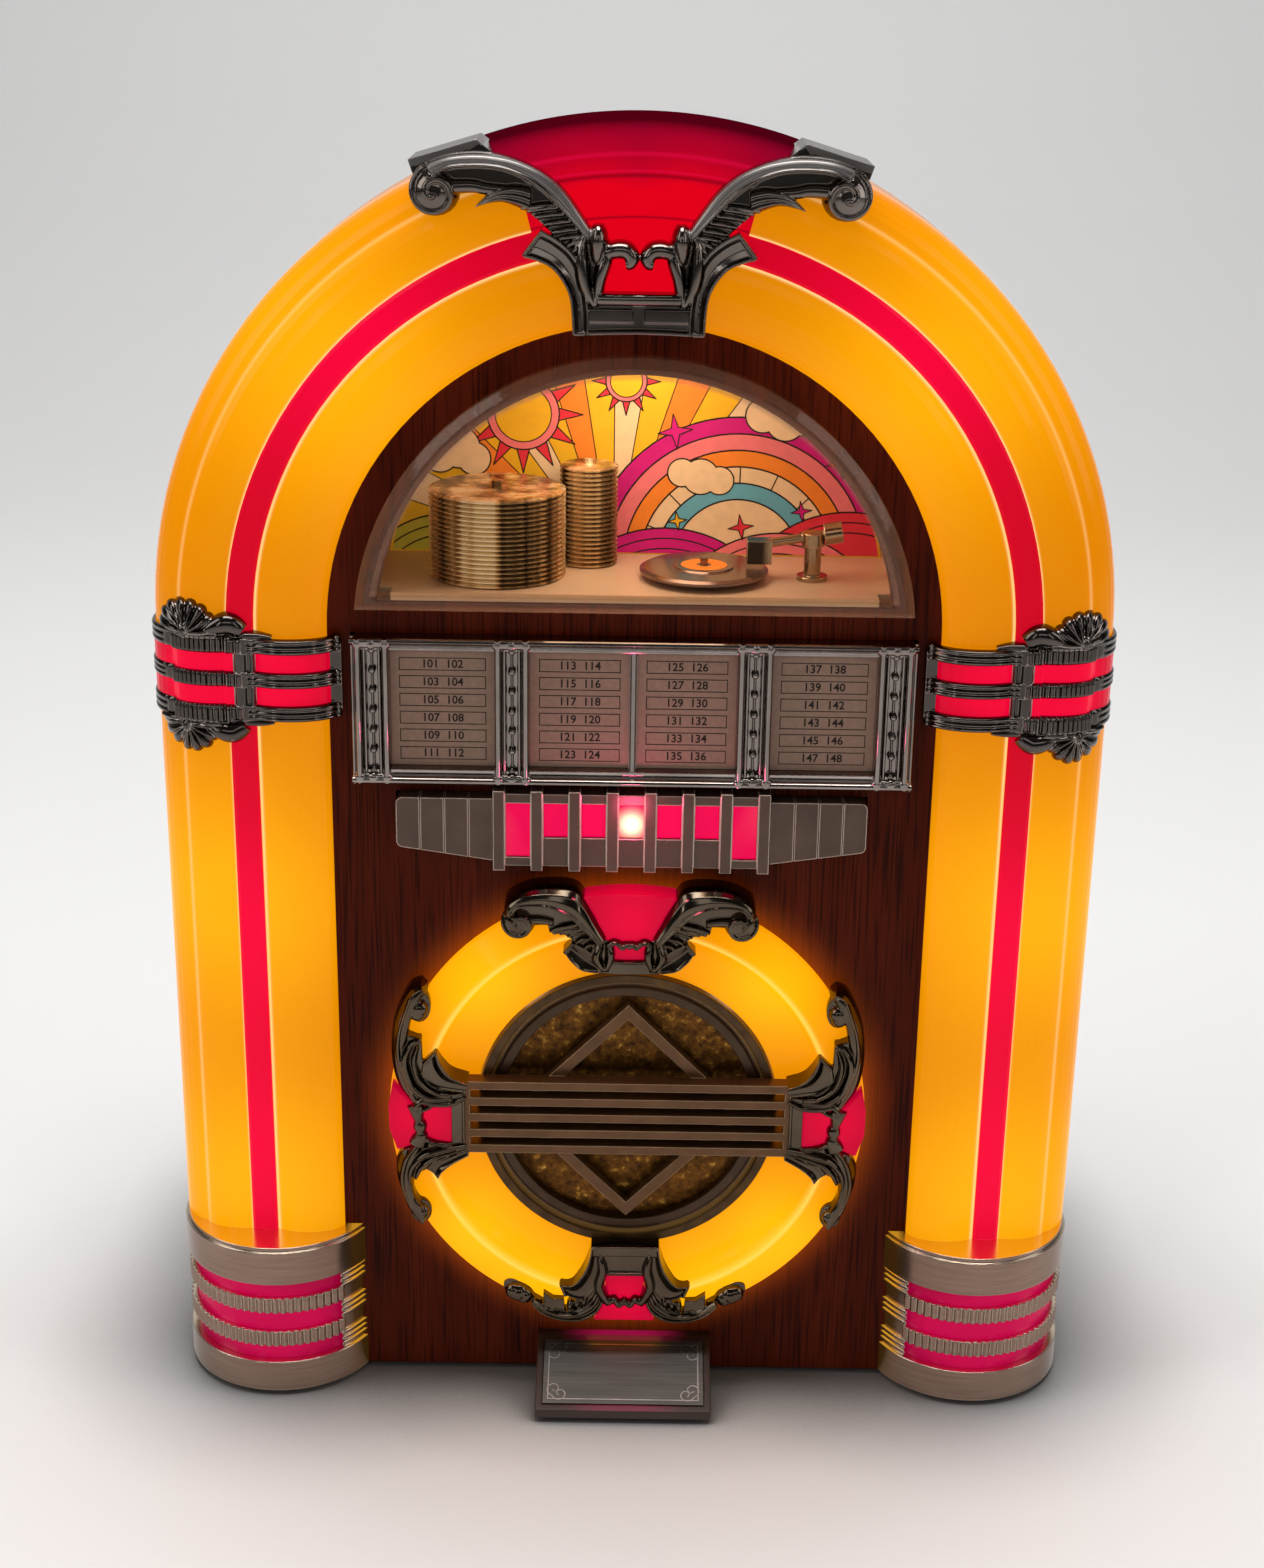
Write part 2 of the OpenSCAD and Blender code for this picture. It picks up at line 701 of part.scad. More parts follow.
module turntable() {
    deck_r = 16.6;
    color("whitesmoke") translate([turntable_x, turntable_y, stage_z]) {
        cylinder(h = 1.4, r = 6);
        translate([0, 0, 1.4]) rotate_extrude() polygon([[0, 0], [deck_r - 1, 0], [deck_r, 0.5], [deck_r, 1.1],
            [deck_r - 1.2, 1.7], [8, 1.7], [7.6, 2.1], [0, 2.1]]);
        cylinder(h = 5.4, r = 1);
    }
}

module tonearm() {
    post_x = 45.6;
    arm_z = stage_z + 10.4;
    head = [30.6, turntable_y - 1];
    along = [post_x - head[0], 0];
    color("lightgray") {
        translate([post_x, turntable_y, stage_z]) {
            cylinder(h = 1.2, r = 4);
            cylinder(h = 9, r = 2.2);
            translate([0, 0, 9]) cylinder(h = 3.4, r = 3);
        }
        translate([post_x + 5.4, turntable_y, arm_z + 2]) rotate([0, -100, 0]) {
            cylinder(h = 22, r = 1.2);
            translate([0, 0, -2]) cylinder(h = 4.6, r = 2.8);
        }
        translate([head[0] - 2, turntable_y - 2.6, arm_z - 6]) cube([6.4, 5.2, 6]);
    }
}

// Title frame

column_x = [-title_half + column_w / 2 + 0.9, -title_half * 0.43, title_half * 0.43, title_half - column_w / 2 - 0.9];
card_gap = 1;

module title_openings() {
    edges = concat([-title_half], [column_x[1]], [0], [column_x[2]], [title_half]);
    for (i = [0:3]) {
        left = i == 0 ? column_x[0] + column_w / 2 : i == 2 ? card_gap : column_x[i == 1 ? 1 : 2] + column_w / 2;
        right = i == 3 ? column_x[3] - column_w / 2 : i == 1 ? -card_gap : column_x[i == 0 ? 1 : 2] - column_w / 2;
        translate([left, title_z + title_bar]) square([right - left, title_h - 2 * title_bar]);
    }
}

module title_frame() {
    bead_r = 1.25;
    beads = 7;
    rod_r = 1.4;
    color("silver") {
        difference() {
            slab(0, title_p - 1) translate([-title_half, title_z]) square([2 * title_half, title_h]);
            slab(-1, title_p) title_openings();
        }
        for (x = column_x) {
            // two upright rods with a row of beads between them, under end caps
            for (side = [-1, 1])
                translate([x + side * (column_w / 2 - rod_r), panel_y - title_p + 1, title_z + 0.6])
                    cylinder(h = title_h - 1.2, r = rod_r);
            for (i = [0:beads - 1])
                translate([x, panel_y - title_p + 0.8, title_z + title_bar + (i + 0.5) * (title_h - 2 * title_bar) / beads])
                    sphere(bead_r);
            for (z = [title_z + 1, title_z + title_h - title_bar + 0.4])
                slab(0, title_p + 0.6) translate([x - column_w / 2 + 0.4, z]) square([column_w - 0.8, 3]);
        }
    }
}

module title_cards() {
    color("lightgray") slab(0, card_t) intersection() {
        title_openings();
        translate([-title_half, title_z + title_bar + fit]) square([2 * title_half, title_h - 2 * title_bar - 2 * fit]);
    }
}

// Push keys

// Lower edge of the keys at a distance from the middle
function key_low(x) = key_z + key_low_in + (key_low_out - key_low_in) * (x - box_half) / (4 * key_pitch);

module key_outline(x0, x1, grow) {
    polygon([[x0, key_low(x0) - grow], [x1, key_low(x1) - grow], [x1, key_z + key_top + grow],
        [x0, key_z + key_top + grow]]);
}

// Outline of key i, with the outer corners of the outermost key rounded
module key_face(i, x0, x1) {
    corner = 1.7;
    if (i == 1)
        intersection() {
            key_outline(x0, x1, 0);
            offset(r = corner, $fn = 24) offset(delta = -corner) key_outline(x0 - key_pitch, x1, 0);
        }
    else
        key_outline(x0, x1, 0);
}

// Key i counts from the outer end of the right-hand row
module push_key(i) {
    gap = 0.25;
    x0 = box_half + (4 - i) * key_pitch + gap;
    x1 = box_half + (5 - i) * key_pitch;
    back = -panel_t - clear;
    color("dimgray") {
        slab(back, key_p) key_face(i, x0, x1);
        slab(back - key_flange, back) key_outline(x0, x1, key_lip);
    }
}

module key_right_1() push_key(1);
module key_right_2() push_key(2);
module key_right_3() push_key(3);
module key_right_4() push_key(4);
module key_left_1() mirror([1, 0, 0]) push_key(1);
module key_left_2() mirror([1, 0, 0]) push_key(2);
module key_left_3() mirror([1, 0, 0]) push_key(3);
module key_left_4() mirror([1, 0, 0]) push_key(4);

window_pitch = 2 * box_half / (window_count + 0.3);

// Windows of the box: the two outer ones are taller
module box_windows(grow) {
    for (i = [-3:3]) {
        low = abs(i) == 3 ? 3.3 : 8.8;
        translate([i * window_pitch - window_w / 2 - grow, key_z + low - grow])
            square([window_w + 2 * grow, key_box_h - 3.5 - low + 2 * grow]);
    }
}

module key_bezel() {
    bezel_p = 5.4;
    color("dimgray") difference() {
        union() {
            slab(0, bezel_p - 1) translate([-box_half, key_z + 1]) square([2 * box_half, key_box_h - 2]);
            // upright ribs between the windows
            for (i = [-3.5:1:3.5])
                slab(0, bezel_p) translate([i * window_pitch - 1.5, key_z]) square([3, key_box_h]);
        }
        slab(-1, bezel_p + 1) box_windows(0);
        slab(-1, 2) translate([-box_half + 2, key_z + 2.5]) square([2 * box_half - 4, key_box_h - 5]);
    }
}

module key_windows() {
    color("deeppink") {
        slab(0, 2 - fit) translate([-box_half + 2 + fit, key_z + 2.5 + fit])
            square([2 * box_half - 4 - 2 * fit, key_box_h - 5 - 2 * fit]);
        slab(2 - fit, 3.4) box_windows(-fit);
    }
}

board_half = key_half + 3;
boss_r = 3;
boss_x = board_half - boss_r;
boss_low = key_z - boss_r;
boss_high = key_z + key_box_h + boss_r;

module key_switch_board() {
    color("darkgreen") slab(-board_p - board_t, -board_p)
        translate([-board_half, boss_low - boss_r]) square([2 * board_half, boss_high - boss_low + 2 * boss_r]);
    color("black") both_sides() for (i = [1:4])
        slab(-board_p, switch_h - board_p)
            translate([box_half + (4.5 - i) * key_pitch - 2.3, key_z + key_box_h / 2 - 2.3]) square(4.6);
}

// Ring lens and grille

// Section of the ring lens, grown by d, from its inner edge to the panel
function ring_face(d) = concat(
    [[ring_in - d, 0], [ring_in - d, ring_in_p + d]],
    ellipse([ring_in, crest_p + d], crest_r - ring_in, crest_p - ring_in_p, 290, 360, 5),
    [[crest_r + 0.8, crest_p + d], [ring_r + d, ring_edge_p + d], [ring_r + d, 0]]);

module ring_lens() {
    color("orange") on_panel() translate([0, ring_z]) rotate_extrude() difference() {
        polygon(ring_face(0));
        polygon([[ring_in + lens_t, -1], [ring_in + lens_t, ring_in_p - lens_t / 2],
            [crest_r - 2.5, crest_p - 2 * lens_t], [crest_r + 0.4, crest_p - lens_t],
            [ring_r - lens_t, ring_edge_p - lens_t], [ring_r - lens_t, -1]]);
    }
}

module ring_reflector() {
    seat = ring_r - 3;
    tube_out = rim_r - fit;
    color("white") on_panel() translate([0, ring_z]) rotate_extrude() {
        back = -panel_t - reflector_depth;
        polygon([[tube_out - 2, rim_back - cloth_t], [tube_out, rim_back - cloth_t], [tube_out, back + 2],
            [seat - 4.5, back + 2], [seat - 4.5, -panel_t], [seat + 4, -panel_t], [seat + 4, -panel_t - 2],
            [seat - 2.5, -panel_t - 2], [seat - 2.5, back], [tube_out - 6, back], [tube_out - 6, back + 2],
            [tube_out - 2, back + 2]]);
    }
}

module grille_rim() {
    r0 = rim_r - rim_band;
    color("saddlebrown") on_panel() translate([0, ring_z]) rotate_extrude()
        polygon([[r0, rim_back], [rim_r, rim_back], [rim_r, rim_p], [rim_r - 2.2, rim_p], [rim_r - 3, 1],
            [rim_r - 3.8, 1], [rim_r - 4.2, 1.8], [r0, 1.8]]);
}

module grille_bars() {
    column = 1.6;
    low = ring_z - 2 * bar_pitch - bar_h / 2;
    high = ring_z + 2 * bar_pitch + bar_h / 2;
    color("saddlebrown") {
        for (i = [-2:2])
            slab(rim_p, bar_p) translate([-bar_half, ring_z + i * bar_pitch - bar_h / 2]) square([2 * bar_half, bar_h]);
        for (side = [-1, 1])
            slab(rim_p, bar_p) translate([side * (bar_half - column / 2) - column / 2, low]) square([column, high - low]);
        slab(0, rim_p + 0.4) translate([0, ring_z]) rotate(45) difference() {
            square(diamond * sqrt(2), center = true);
            square(diamond * sqrt(2) - 2 * diamond_w, center = true);
        }
    }
}

module grille_cloth() {
    color("goldenrod") slab(rim_back - cloth_t, rim_back) translate([0, ring_z]) circle(rim_r - fit);
}

// Speaker

module speaker_frame() {
    r = rim_r - 1.5;
    back = magnet_r - 6;
    color("slategray") difference() {
        on_panel() translate([0, ring_z]) rotate_extrude() polygon([[r, -speaker_p], [r, -speaker_p - 2],
            [r - 5, -speaker_p - 2], [back, -speaker_p - speaker_depth],
            [5, -speaker_p - speaker_depth], [5, 2 - speaker_p - speaker_depth],
            [back - 1, 2 - speaker_p - speaker_depth], [r - 6, -speaker_p]]);
        for (a = [0:90:270])
            on_panel() translate([0, ring_z, -speaker_p - speaker_depth + 5]) rotate([0, 0, a + 45])
                translate([back - 6, -6, 0]) cube([r, 12, speaker_depth - 9]);
    }
}

module speaker_cone() {
    r = rim_r - 8.5;
    color("black") on_panel() translate([0, ring_z]) rotate_extrude() polygon([[r, -speaker_p],
        [r, -speaker_p - 0.8], [9, 4 - speaker_p - speaker_depth], [0, 4.6 - speaker_p - speaker_depth],
        [0, 6 - speaker_p - speaker_depth], [9, 5.4 - speaker_p - speaker_depth], [r - 2.5, -speaker_p]]);
}

module speaker_magnet() {
    color("gray") on_panel(-speaker_p - speaker_depth - magnet_t) translate([0, ring_z]) cylinder(h = magnet_t, r = magnet_r);
}

// Ring trim

ring_base = crest_p + 1.2;

function ring_top(x, z) = [x, ring_z + ring_r + z];
function ring_bottom(x, z) = [x, ring_z - ring_r + z];
// The side trim is drawn 19.6 wide and fills the room between the ring's edge and the bars
side_drawn = 19.6;
side_gap = 0.7;
side_share_x = (ring_r - bar_half - side_gap) / side_drawn;
function ring_side(x, z) = [ring_r + x * side_share_x, ring_z + z];

// Cuts trim to lie on the ring lens and the panel
module on_ring() {
    difference() {
        children();
        on_panel(-panel_t) cylinder(h = panel_t + fit, r = arch_z + panel_r);
        on_panel() translate([0, ring_z]) rotate_extrude($fn = 60) polygon(ring_face(clear));
        on_panel() translate([0, ring_z]) cylinder(h = rim_p + fit, r = rim_r + clear, $fn = 60);
    }
}

module ring_top_wing() {
    eye = ring_top(-29.4, -7);
    curve = bezier([ring_top(-29.4, -3.2), ring_top(-24, 2), ring_top(-14, 2.4), ring_top(-6.4, -10.5)], 10);
    leaf = [ring_top(-23.5, -8), ring_top(-20.6, -10), ring_top(-15.6, -10), ring_top(-11.9, -12.2), ring_top(-6.5, -13.5)];
    rib(concat(spiral(eye, 0.8, 3.8, 480, 90, 12), [for (i = [1:10]) curve[i]]),
        [0.6, 2.2, 1], [2, 2.8, 2], ring_base - 1, 0);
    translate([eye[0], eye[1], 0]) cylinder(h = ring_base + 0.4, r = 3.6, $fn = 20);
    plate(concat([for (i = [0:10]) curve[i]], reverse(leaf)), 0, ring_base - 0.6);
    for (i = [0:4]) {
        t = i / 4;
        vein(ring_top(-20 + 12 * t, -4.4 - 6.4 * t), ring_top(-21.5 + 13 * t, -9 - 3.4 * t), ring_base - 0.4, ring_base - 0.7, 0.6, 0.8);
    }
    // hook and pillar down to the grille rim
    plate([ring_top(-15.6, -13.2), ring_top(-16.9, -16.4), ring_top(-11.4, -20.4), ring_top(0, -20.2),
        ring_top(0, -18.2), ring_top(-6.5, -18.2), ring_top(-6, -12.6), ring_top(-11.6, -12)], 0, ring_base - 0.8);
    rib(bezier([ring_top(-7.4, -19), ring_top(-8.6, -16), ring_top(-5.2, -13), ring_top(-5.6, -9.6)], 6),
        [0.5, 1.5, 0.6], [0.8, 2.6, 1], ring_base - 1, 0);
    rib(bezier([ring_top(-5.4, -11.2), ring_top(-3.4, -9.6), ring_top(-1.6, -10.4), ring_top(-0.4, -12.8)], 5),
        [0.8, 1, 0.6], [1, 1.8, 1], ring_base - 1.4, 0);
}

module ring_top_ornament() {
    color("dimgray") on_ring() on_panel() both_sides() ring_top_wing();
}

// Upper half of the right-hand ring trim
module ring_side_half() {
    spine = bezier([ring_side(-8, 37), ring_side(3.4, 28), ring_side(-1, 11), ring_side(-8.6, 2)], 8);
    curl = bezier([ring_side(-8.6, 22), ring_side(-2.6, 15), ring_side(-8.4, 7), ring_side(-19.4, 8.6)], 7);
    rib(spine, [1.6, 2.4, 1.1], [2, 3.4, 2.2], 4.6, 0);
    rib(curl, [0.5, 1.9, 1], [1, 2.8, 1.6], 6.4, 0);
    translate(concat(ring_side(-8.4, 35.6), 5)) sphere(3.5, $fn = 10);
    plate([ring_side(-12.8, 21), ring_side(-15.4, 16.6), ring_side(-19, 14.4), ring_side(-19.6, 13.4),
        ring_side(-19.6, 7.2), ring_side(-13.6, 5.6), ring_side(-7.6, 8.6), ring_side(-8.6, 15)], 0, ring_base - 0.6);
    plate([ring_side(-17.2, -1), ring_side(-19.6, -1), ring_side(-19.6, 9), ring_side(-17.2, 9)], 0, ring_base - 0.4);
    for (i = [0:2])
        vein(ring_side(-10.4 - i * 2, 15 - i * 1.6), ring_side(-12.6 - i * 1.9, 18.6 - i * 1.5), ring_base - 0.4, ring_base - 0.8, 0.6, 0.7);
    rib([ring_side(-8.7, -0.4), ring_side(-8.4, 1.2), ring_side(-8.7, 3)], [0.9, 1.4, 1.2], [2, 2.6, 2.4], 6, 0);
}

side_mid = -2.6;

module ring_side_ornaments() {
    color("dimgray") on_ring() on_panel() both_sides() {
        translate([0, side_mid]) ring_side_half();
        translate([0, 2 * ring_z + side_mid]) mirror([0, 1]) ring_side_half();
    }
}

module ring_bottom_arm() {
    arm = bezier([ring_bottom(-4, 6.4), ring_bottom(-10, -1.6), ring_bottom(-20, 0), ring_bottom(-29.4, 7.6)], 11);
    rib(arm, [1.4, 2.4, 1.4], [1.8, 2.8, 2], 4.6, 0);
    translate(concat(ring_bottom(-29.6, 7.8), 5)) sphere(3.2, $fn = 10);
    plate([ring_bottom(-22, 3.4), ring_bottom(-22.4, 8.6), ring_bottom(-18.4, 7), ring_bottom(-16.6, 8.2),
        ring_bottom(-12, 6.6), ring_bottom(-7, 3)], 0, ring_base - 2.4);
    plate([ring_bottom(0, 24.2), ring_bottom(-9.6, 24.2), ring_bottom(-10.6, 16), ring_bottom(-17.3, 12.6),
        ring_bottom(-14.4, 9.2), ring_bottom(-8.2, 12), ring_bottom(-5.6, 18.6), ring_bottom(0, 18.6)], 0, ring_base - 0.6);
    rib(bezier([ring_bottom(-6.6, 21.6), ring_bottom(-5.6, 15), ring_bottom(-8.4, 11), ring_bottom(-4.2, 6.6)], 8),
        [0.6, 1.7, 1], [1, 2.6, 1.4], ring_base - 1, 0);
    for (i = [0:3])
        vein(ring_bottom(-9.6 - 1.9 * i, 5.4), ring_bottom(-10.6 - 2.4 * i, 8 - 0.2 * i), ring_base - 2.6, ring_base - 2.6, 0.6, 0.8);
    rib(bezier([ring_bottom(-4.6, 7.6), ring_bottom(-2.6, 10), ring_bottom(-1, 8.6), ring_bottom(-0.4, 6.2)], 5),
        [0.8, 1, 0.6], [1, 1.8, 1], ring_base - 1.8, 0);
}

module ring_bottom_ornament() {
    color("dimgray") on_ring() on_panel() both_sides() ring_bottom_arm();
}

// Red lenses framed by the ring trim
module ring_windows() {
    fan_p = ring_base - 1.8;
    color("crimson") on_ring() {
        slab(0, fan_p) polygon([ring_top(-10.6, 1.4), ring_top(-5, 2.2), ring_top(0, 2.5), ring_top(5, 2.2),
            ring_top(10.6, 1.4), ring_top(4.6, -8.6), ring_top(-4.6, -8.6)]);
        slab(0, fan_p) polygon([ring_top(-3.8, -14.4), ring_top(3.8, -14.4), ring_top(4.6, -17.6), ring_top(-4.6, -17.6)]);
        slab(0, fan_p) polygon([ring_bottom(-4.2, 17.6), ring_bottom(4.2, 17.6), ring_bottom(3, 11), ring_bottom(-3, 11)]);
        slab(0, 4) polygon([ring_bottom(-3, 4), ring_bottom(3, 4), ring_bottom(5, 0), ring_bottom(-5, 0)]);
        both_sides() {
            slab(0, 5) translate([0, side_mid]) polygon([ring_side(0.6, 6), ring_side(-5, 2.6), ring_side(-5, -2.6), ring_side(0.6, -6)]);
            slab(0, fan_p - 0.6) translate([0, side_mid]) polygon([ring_side(-16.6, 4.4), ring_side(-11.4, 2.4), ring_side(-11.4, -2.4), ring_side(-16.6, -4.4)]);
        }
    }
}

// Plaque

plaque_top = 2.7;
plaque_lip = 2.4;
plaque_slope = atan2(plaque_h - pad_h - plaque_lip, plaque_reach - plaque_top);
plaque_face = norm([plaque_h - pad_h - plaque_lip, plaque_reach - plaque_top]);

// Places children on the sloping face, with y up the slope and z out of it
module on_plaque() {
    translate([0, panel_y - plaque_reach, pad_h + plaque_lip]) rotate([plaque_slope, 0, 0]) children();
}

plate_edge = 2;
plate_t = 1;
plate_sink = 0.6;

module plaque_plate_form(grow) {
    translate([-plaque_w / 2 + plate_edge - grow, plate_edge - grow, -plate_sink])
        cube([plaque_w - 2 * plate_edge + 2 * grow, plaque_face - 2 * plate_edge + 2 * grow, plate_t]);
}

module plaque_block() {
    color("black") difference() {
        translate([plaque_w / 2, panel_y, 0]) rotate([0, -90, 0]) linear_extrude(plaque_w)
            polygon([[pad_h, 0], [plaque_h, 0], [plaque_h, -plaque_top],
                [pad_h + plaque_lip, -plaque_reach], [pad_h, -plaque_reach]]);
        on_plaque() plaque_plate_form(fit);
    }
}

module plaque_plate() {
    color("gray") on_plaque() plaque_plate_form(0);
}

// Cabinet

// Where the rear cover is screwed to the cabinet
screw_r = 1.5;
screw_seat = shell_r - wall - 4;
function screw_points() = concat(
    [for (side = [-1, 1], z = [pad_h + wall + 18, key_z]) [side * screw_seat, z]],
    [for (a = [50, 130]) [0, arch_z] + screw_seat * [cos(a), sin(a)]]);

board_w = 2 * shell_r - 114;
board_d = 56;
board_z = pad_h + wall + 8;
board_y = panel_y + shell_back - board_d / 2 - 12;
post_r = 3.5;

module cabinet_shell() {
    boss = 5;
    boss_len = 16;
    color("saddlebrown") difference() {
        union() {
            difference() {
                slab(-shell_back, -panel_t) arch_outline(shell_r, pad_h);
                slab(-shell_back - 1, 0) arch_outline(shell_r - wall, pad_h + wall);
            }
            for (q = screw_points())
                slab(-shell_back, boss_len - shell_back) translate(q) circle(boss);
            for (x = [-1, 1], y = [-1, 1])
                translate([x * (board_w / 2 - 5), board_y + y * (board_d / 2 - 5), pad_h + wall - 1])
                    cylinder(h = board_z - pad_h - wall + 1, r = post_r);
        }
        for (q = screw_points())
            slab(-shell_back - 1, boss_len - 3 - shell_back) translate(q) circle(screw_r + fit);
        for (z = [tuning_z, volume_z])
            translate([shell_r - wall - 1, knob_y, z]) rotate([0, 90, 0]) cylinder(h = wall + 2, r = stem_r + clear);
    }
}

// Outline of the openings behind one row of keys
module key_slot() key_outline(box_half, box_half + 4 * key_pitch + clear, clear);

// Slots that let light into the tubes
module light_slots() {
    x = panel_r + 5;
    w = inner_lobe_w - 9;
    translate([x, foot_h + 8]) square([w, clamp_bottom - foot_h - 16]);
    translate([0, arch_z]) intersection() {
        difference() {
            circle(x + w);
            circle(x);
        }
        polygon([[0, 0], tube_r * 2 * [cos(8), sin(8)], tube_r * 2 * [cos(66), sin(66)]]);
    }
}

module front_panel() {
    color("maroon") {
        difference() {
            slab(-panel_t, 0) arch_outline(shell_r, pad_h);
            slab(-panel_t - 1, 1) {
                half_disc(dome_r - 5, stage_z - stage_t - fit);
                translate([0, ring_z]) circle(ring_r - 3);
                translate([-box_half + 4, key_z + 4]) square([2 * box_half - 8, key_box_h - 8]);
            }
            both_sides() slab(-panel_t - 1, 1) {
                key_slot();
                light_slots();
            }
        }
        // bosses that carry the switch board
        for (x = [-boss_x, boss_x], z = [boss_low, boss_high])
            slab(-board_p, -panel_t) translate([x, z]) circle(boss_r);
    }
}

gland_x = -0.625 * shell_r;
gland_z = 32;
gland_bore = 3.25;
gland_r = 6;

module rear_cover() {
    slots = 9;
    slot_pitch = 7;
    color("black") difference() {
        slab(-shell_back - cover_t, -shell_back) arch_outline(shell_r, pad_h);
        slab(-shell_back - cover_t - 1, 1 - shell_back) {
            for (q = screw_points()) translate(q) circle(screw_r + clear);
            translate([gland_x, gland_z]) circle(gland_r + fit);
            for (i = [0:slots - 1], side = [-1, 1])
                translate([side * 26 - 20, ring_z - 28 + i * slot_pitch]) square([40, 3]);
        }
    }
}

module rear_screws() {
    head_r = 3;
    head_t = 1.6;
    color("silver") for (q = screw_points()) {
        slab(-shell_back - cover_t - head_t, -shell_back - cover_t) translate(q) circle(head_r);
        slab(-shell_back - cover_t, 11 - shell_back) translate(q) circle(screw_r);
    }
}

module cord_gland() {
    color("black") slab(-body_depth, 3 - shell_back) translate([gland_x, gland_z]) difference() {
        circle(gland_r);
        circle(gland_bore);
    }
    color("black") slab(-body_depth, -shell_back - cover_t) translate([gland_x, gland_z]) difference() {
        circle(gland_r + 2.5);
        circle(gland_bore);
    }
}

module rubber_pads() {
    pad_r = 8;
    color("black") both_sides() {
        translate([foot_x, panel_y - 3, 0]) cylinder(h = pad_h, r = pad_r);
        translate([shell_r - 14, panel_y + shell_back - 14, 0]) cylinder(h = pad_h, r = pad_r);
    }
}

// Controls on the right side

module knob(z) {
    ridges = 24;
    n = 4 * ridges;
    color("black") translate([shell_r + knob_gap, knob_y, z]) rotate([0, 90, 0]) {
        linear_extrude(knob_t) polygon([for (i = [0:n - 1]) let (t = 360 * i / n, r = knob_r - 0.5 * abs(sin(90 * i / 2)))
            r * [cos(t), sin(t)]]);
        translate([0, 0, -knob_gap - wall - control_t + 2]) cylinder(h = knob_gap + wall + control_t - 2, r = stem_r);
    }
}

// A control body on the inside of the wall, with the bush that carries the stem
module control(z, w, tone) {
    color(tone) difference() {
        translate([shell_r - wall - control_t, knob_y - w / 2, z - w / 2]) cube([control_t, w, w]);
        translate([shell_r - wall - control_t + 2 - clear, knob_y, z]) rotate([0, 90, 0])
            cylinder(h = control_t + 1, r = stem_r + 0.08);
    }
}

module volume_knob() knob(volume_z);
module tuning_knob() knob(tuning_z);
module volume_control() control(volume_z, control_w - 4, "steelblue");
module tuning_capacitor() control(tuning_z, control_w, "ivory");

// Electronics

module circuit_board() {
    rod_r = 5;
    color("darkgreen") translate([-board_w / 2, board_y - board_d / 2, board_z]) cube([board_w, board_d, board_t]);
    color("gray") {
        // smoothing capacitors, heat sink and the ferrite rod of the aerial
        for (i = [0:2])
            translate([i * 13 - board_w * 3 / 11, board_y - 12, board_z + board_t]) cylinder(h = 14, r = 5);
        translate([14, board_y - 20, board_z + board_t]) cube([30, 4, 22]);
        for (x = [10 - board_w / 2, board_w / 2 - 16])
            translate([x, board_y + board_d / 4 - rod_r, board_z + board_t]) cube([6, 2 * rod_r, rod_r]);
        translate([5 - board_w / 2, board_y + board_d / 4, board_z + board_t + rod_r]) rotate([0, 90, 0])
            cylinder(h = board_w - 10, r = rod_r - 0.5);
    }
}

module transformer() {
    core = [40, 34, 34];
    x = -shell_r + wall + 4;
    y = panel_y + panel_t + 30;
    color("gray") translate([x, y, pad_h + wall]) cube(core);
    color("goldenrod") for (dy = [-5, core[1]])
        translate([x + 8, y + dy, pad_h + wall + 7]) cube([core[0] - 16, 5, core[2] - 14]);
}

// A lamp in its holder, standing on z = 0
module lamp() {
    cylinder(h = 8, r = 5);
    translate([0, 0, 8]) cylinder(h = 4, r = 3);
    translate([0, 0, 13]) sphere(4);
}

module lamps() {
    lamp_y = panel_y + panel_t + 14;
    color("ivory") {
        for (side = [-1, 1], z = [foot_h + 15, clamp_bottom - 51])
            translate([side * (shell_r - wall), lamp_y, z]) rotate([0, -90 * side, 0]) lamp();
        translate([0, lamp_y, arch_z + shell_r - wall - clear]) rotate([180, 0, 0]) lamp();
        for (a = [45:90:315])
            on_panel(-panel_t - reflector_depth + 2) translate([0, ring_z])
                rotate([0, 0, a]) translate([(rim_r + ring_r - 7.5) / 2, 0, 0]) lamp();
        on_panel(-board_p) translate([0, key_z + key_box_h / 2, 0]) cylinder(h = 5, r = 2.4);
        on_panel(-board_p + 5) translate([0, key_z + key_box_h / 2, 0]) sphere(2.4);
    }
}

cabinet_shell();
front_panel();
rear_cover();
rear_screws();
rubber_pads();
cord_gland();
left_tube_lens();
right_tube_lens();
tube_stripes();
crown_lens();
crown_ornament();
left_foot();
right_foot();
foot_lenses();
left_clamp();
right_clamp();
clamp_shells();
clamp_lenses();
dome_cover();
dome_housing();
backdrop_card();
record_stacks();
turntable();
tonearm();
title_frame();
title_cards();
key_bezel();
key_windows();
key_switch_board();
key_left_1();
key_left_2();
key_left_3();
key_left_4();
key_right_1();
key_right_2();
key_right_3();
key_right_4();
ring_lens();
ring_reflector();
grille_rim();
grille_bars();
grille_cloth();
speaker_frame();
speaker_cone();
speaker_magnet();
ring_top_ornament();
ring_side_ornaments();
ring_bottom_ornament();
ring_windows();
plaque_block();
plaque_plate();
volume_knob();
volume_control();
tuning_knob();
tuning_capacitor();
circuit_board();
transformer();
lamps();
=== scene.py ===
import math

import bmesh
import bpy
from mathutils import Matrix, Vector, noise


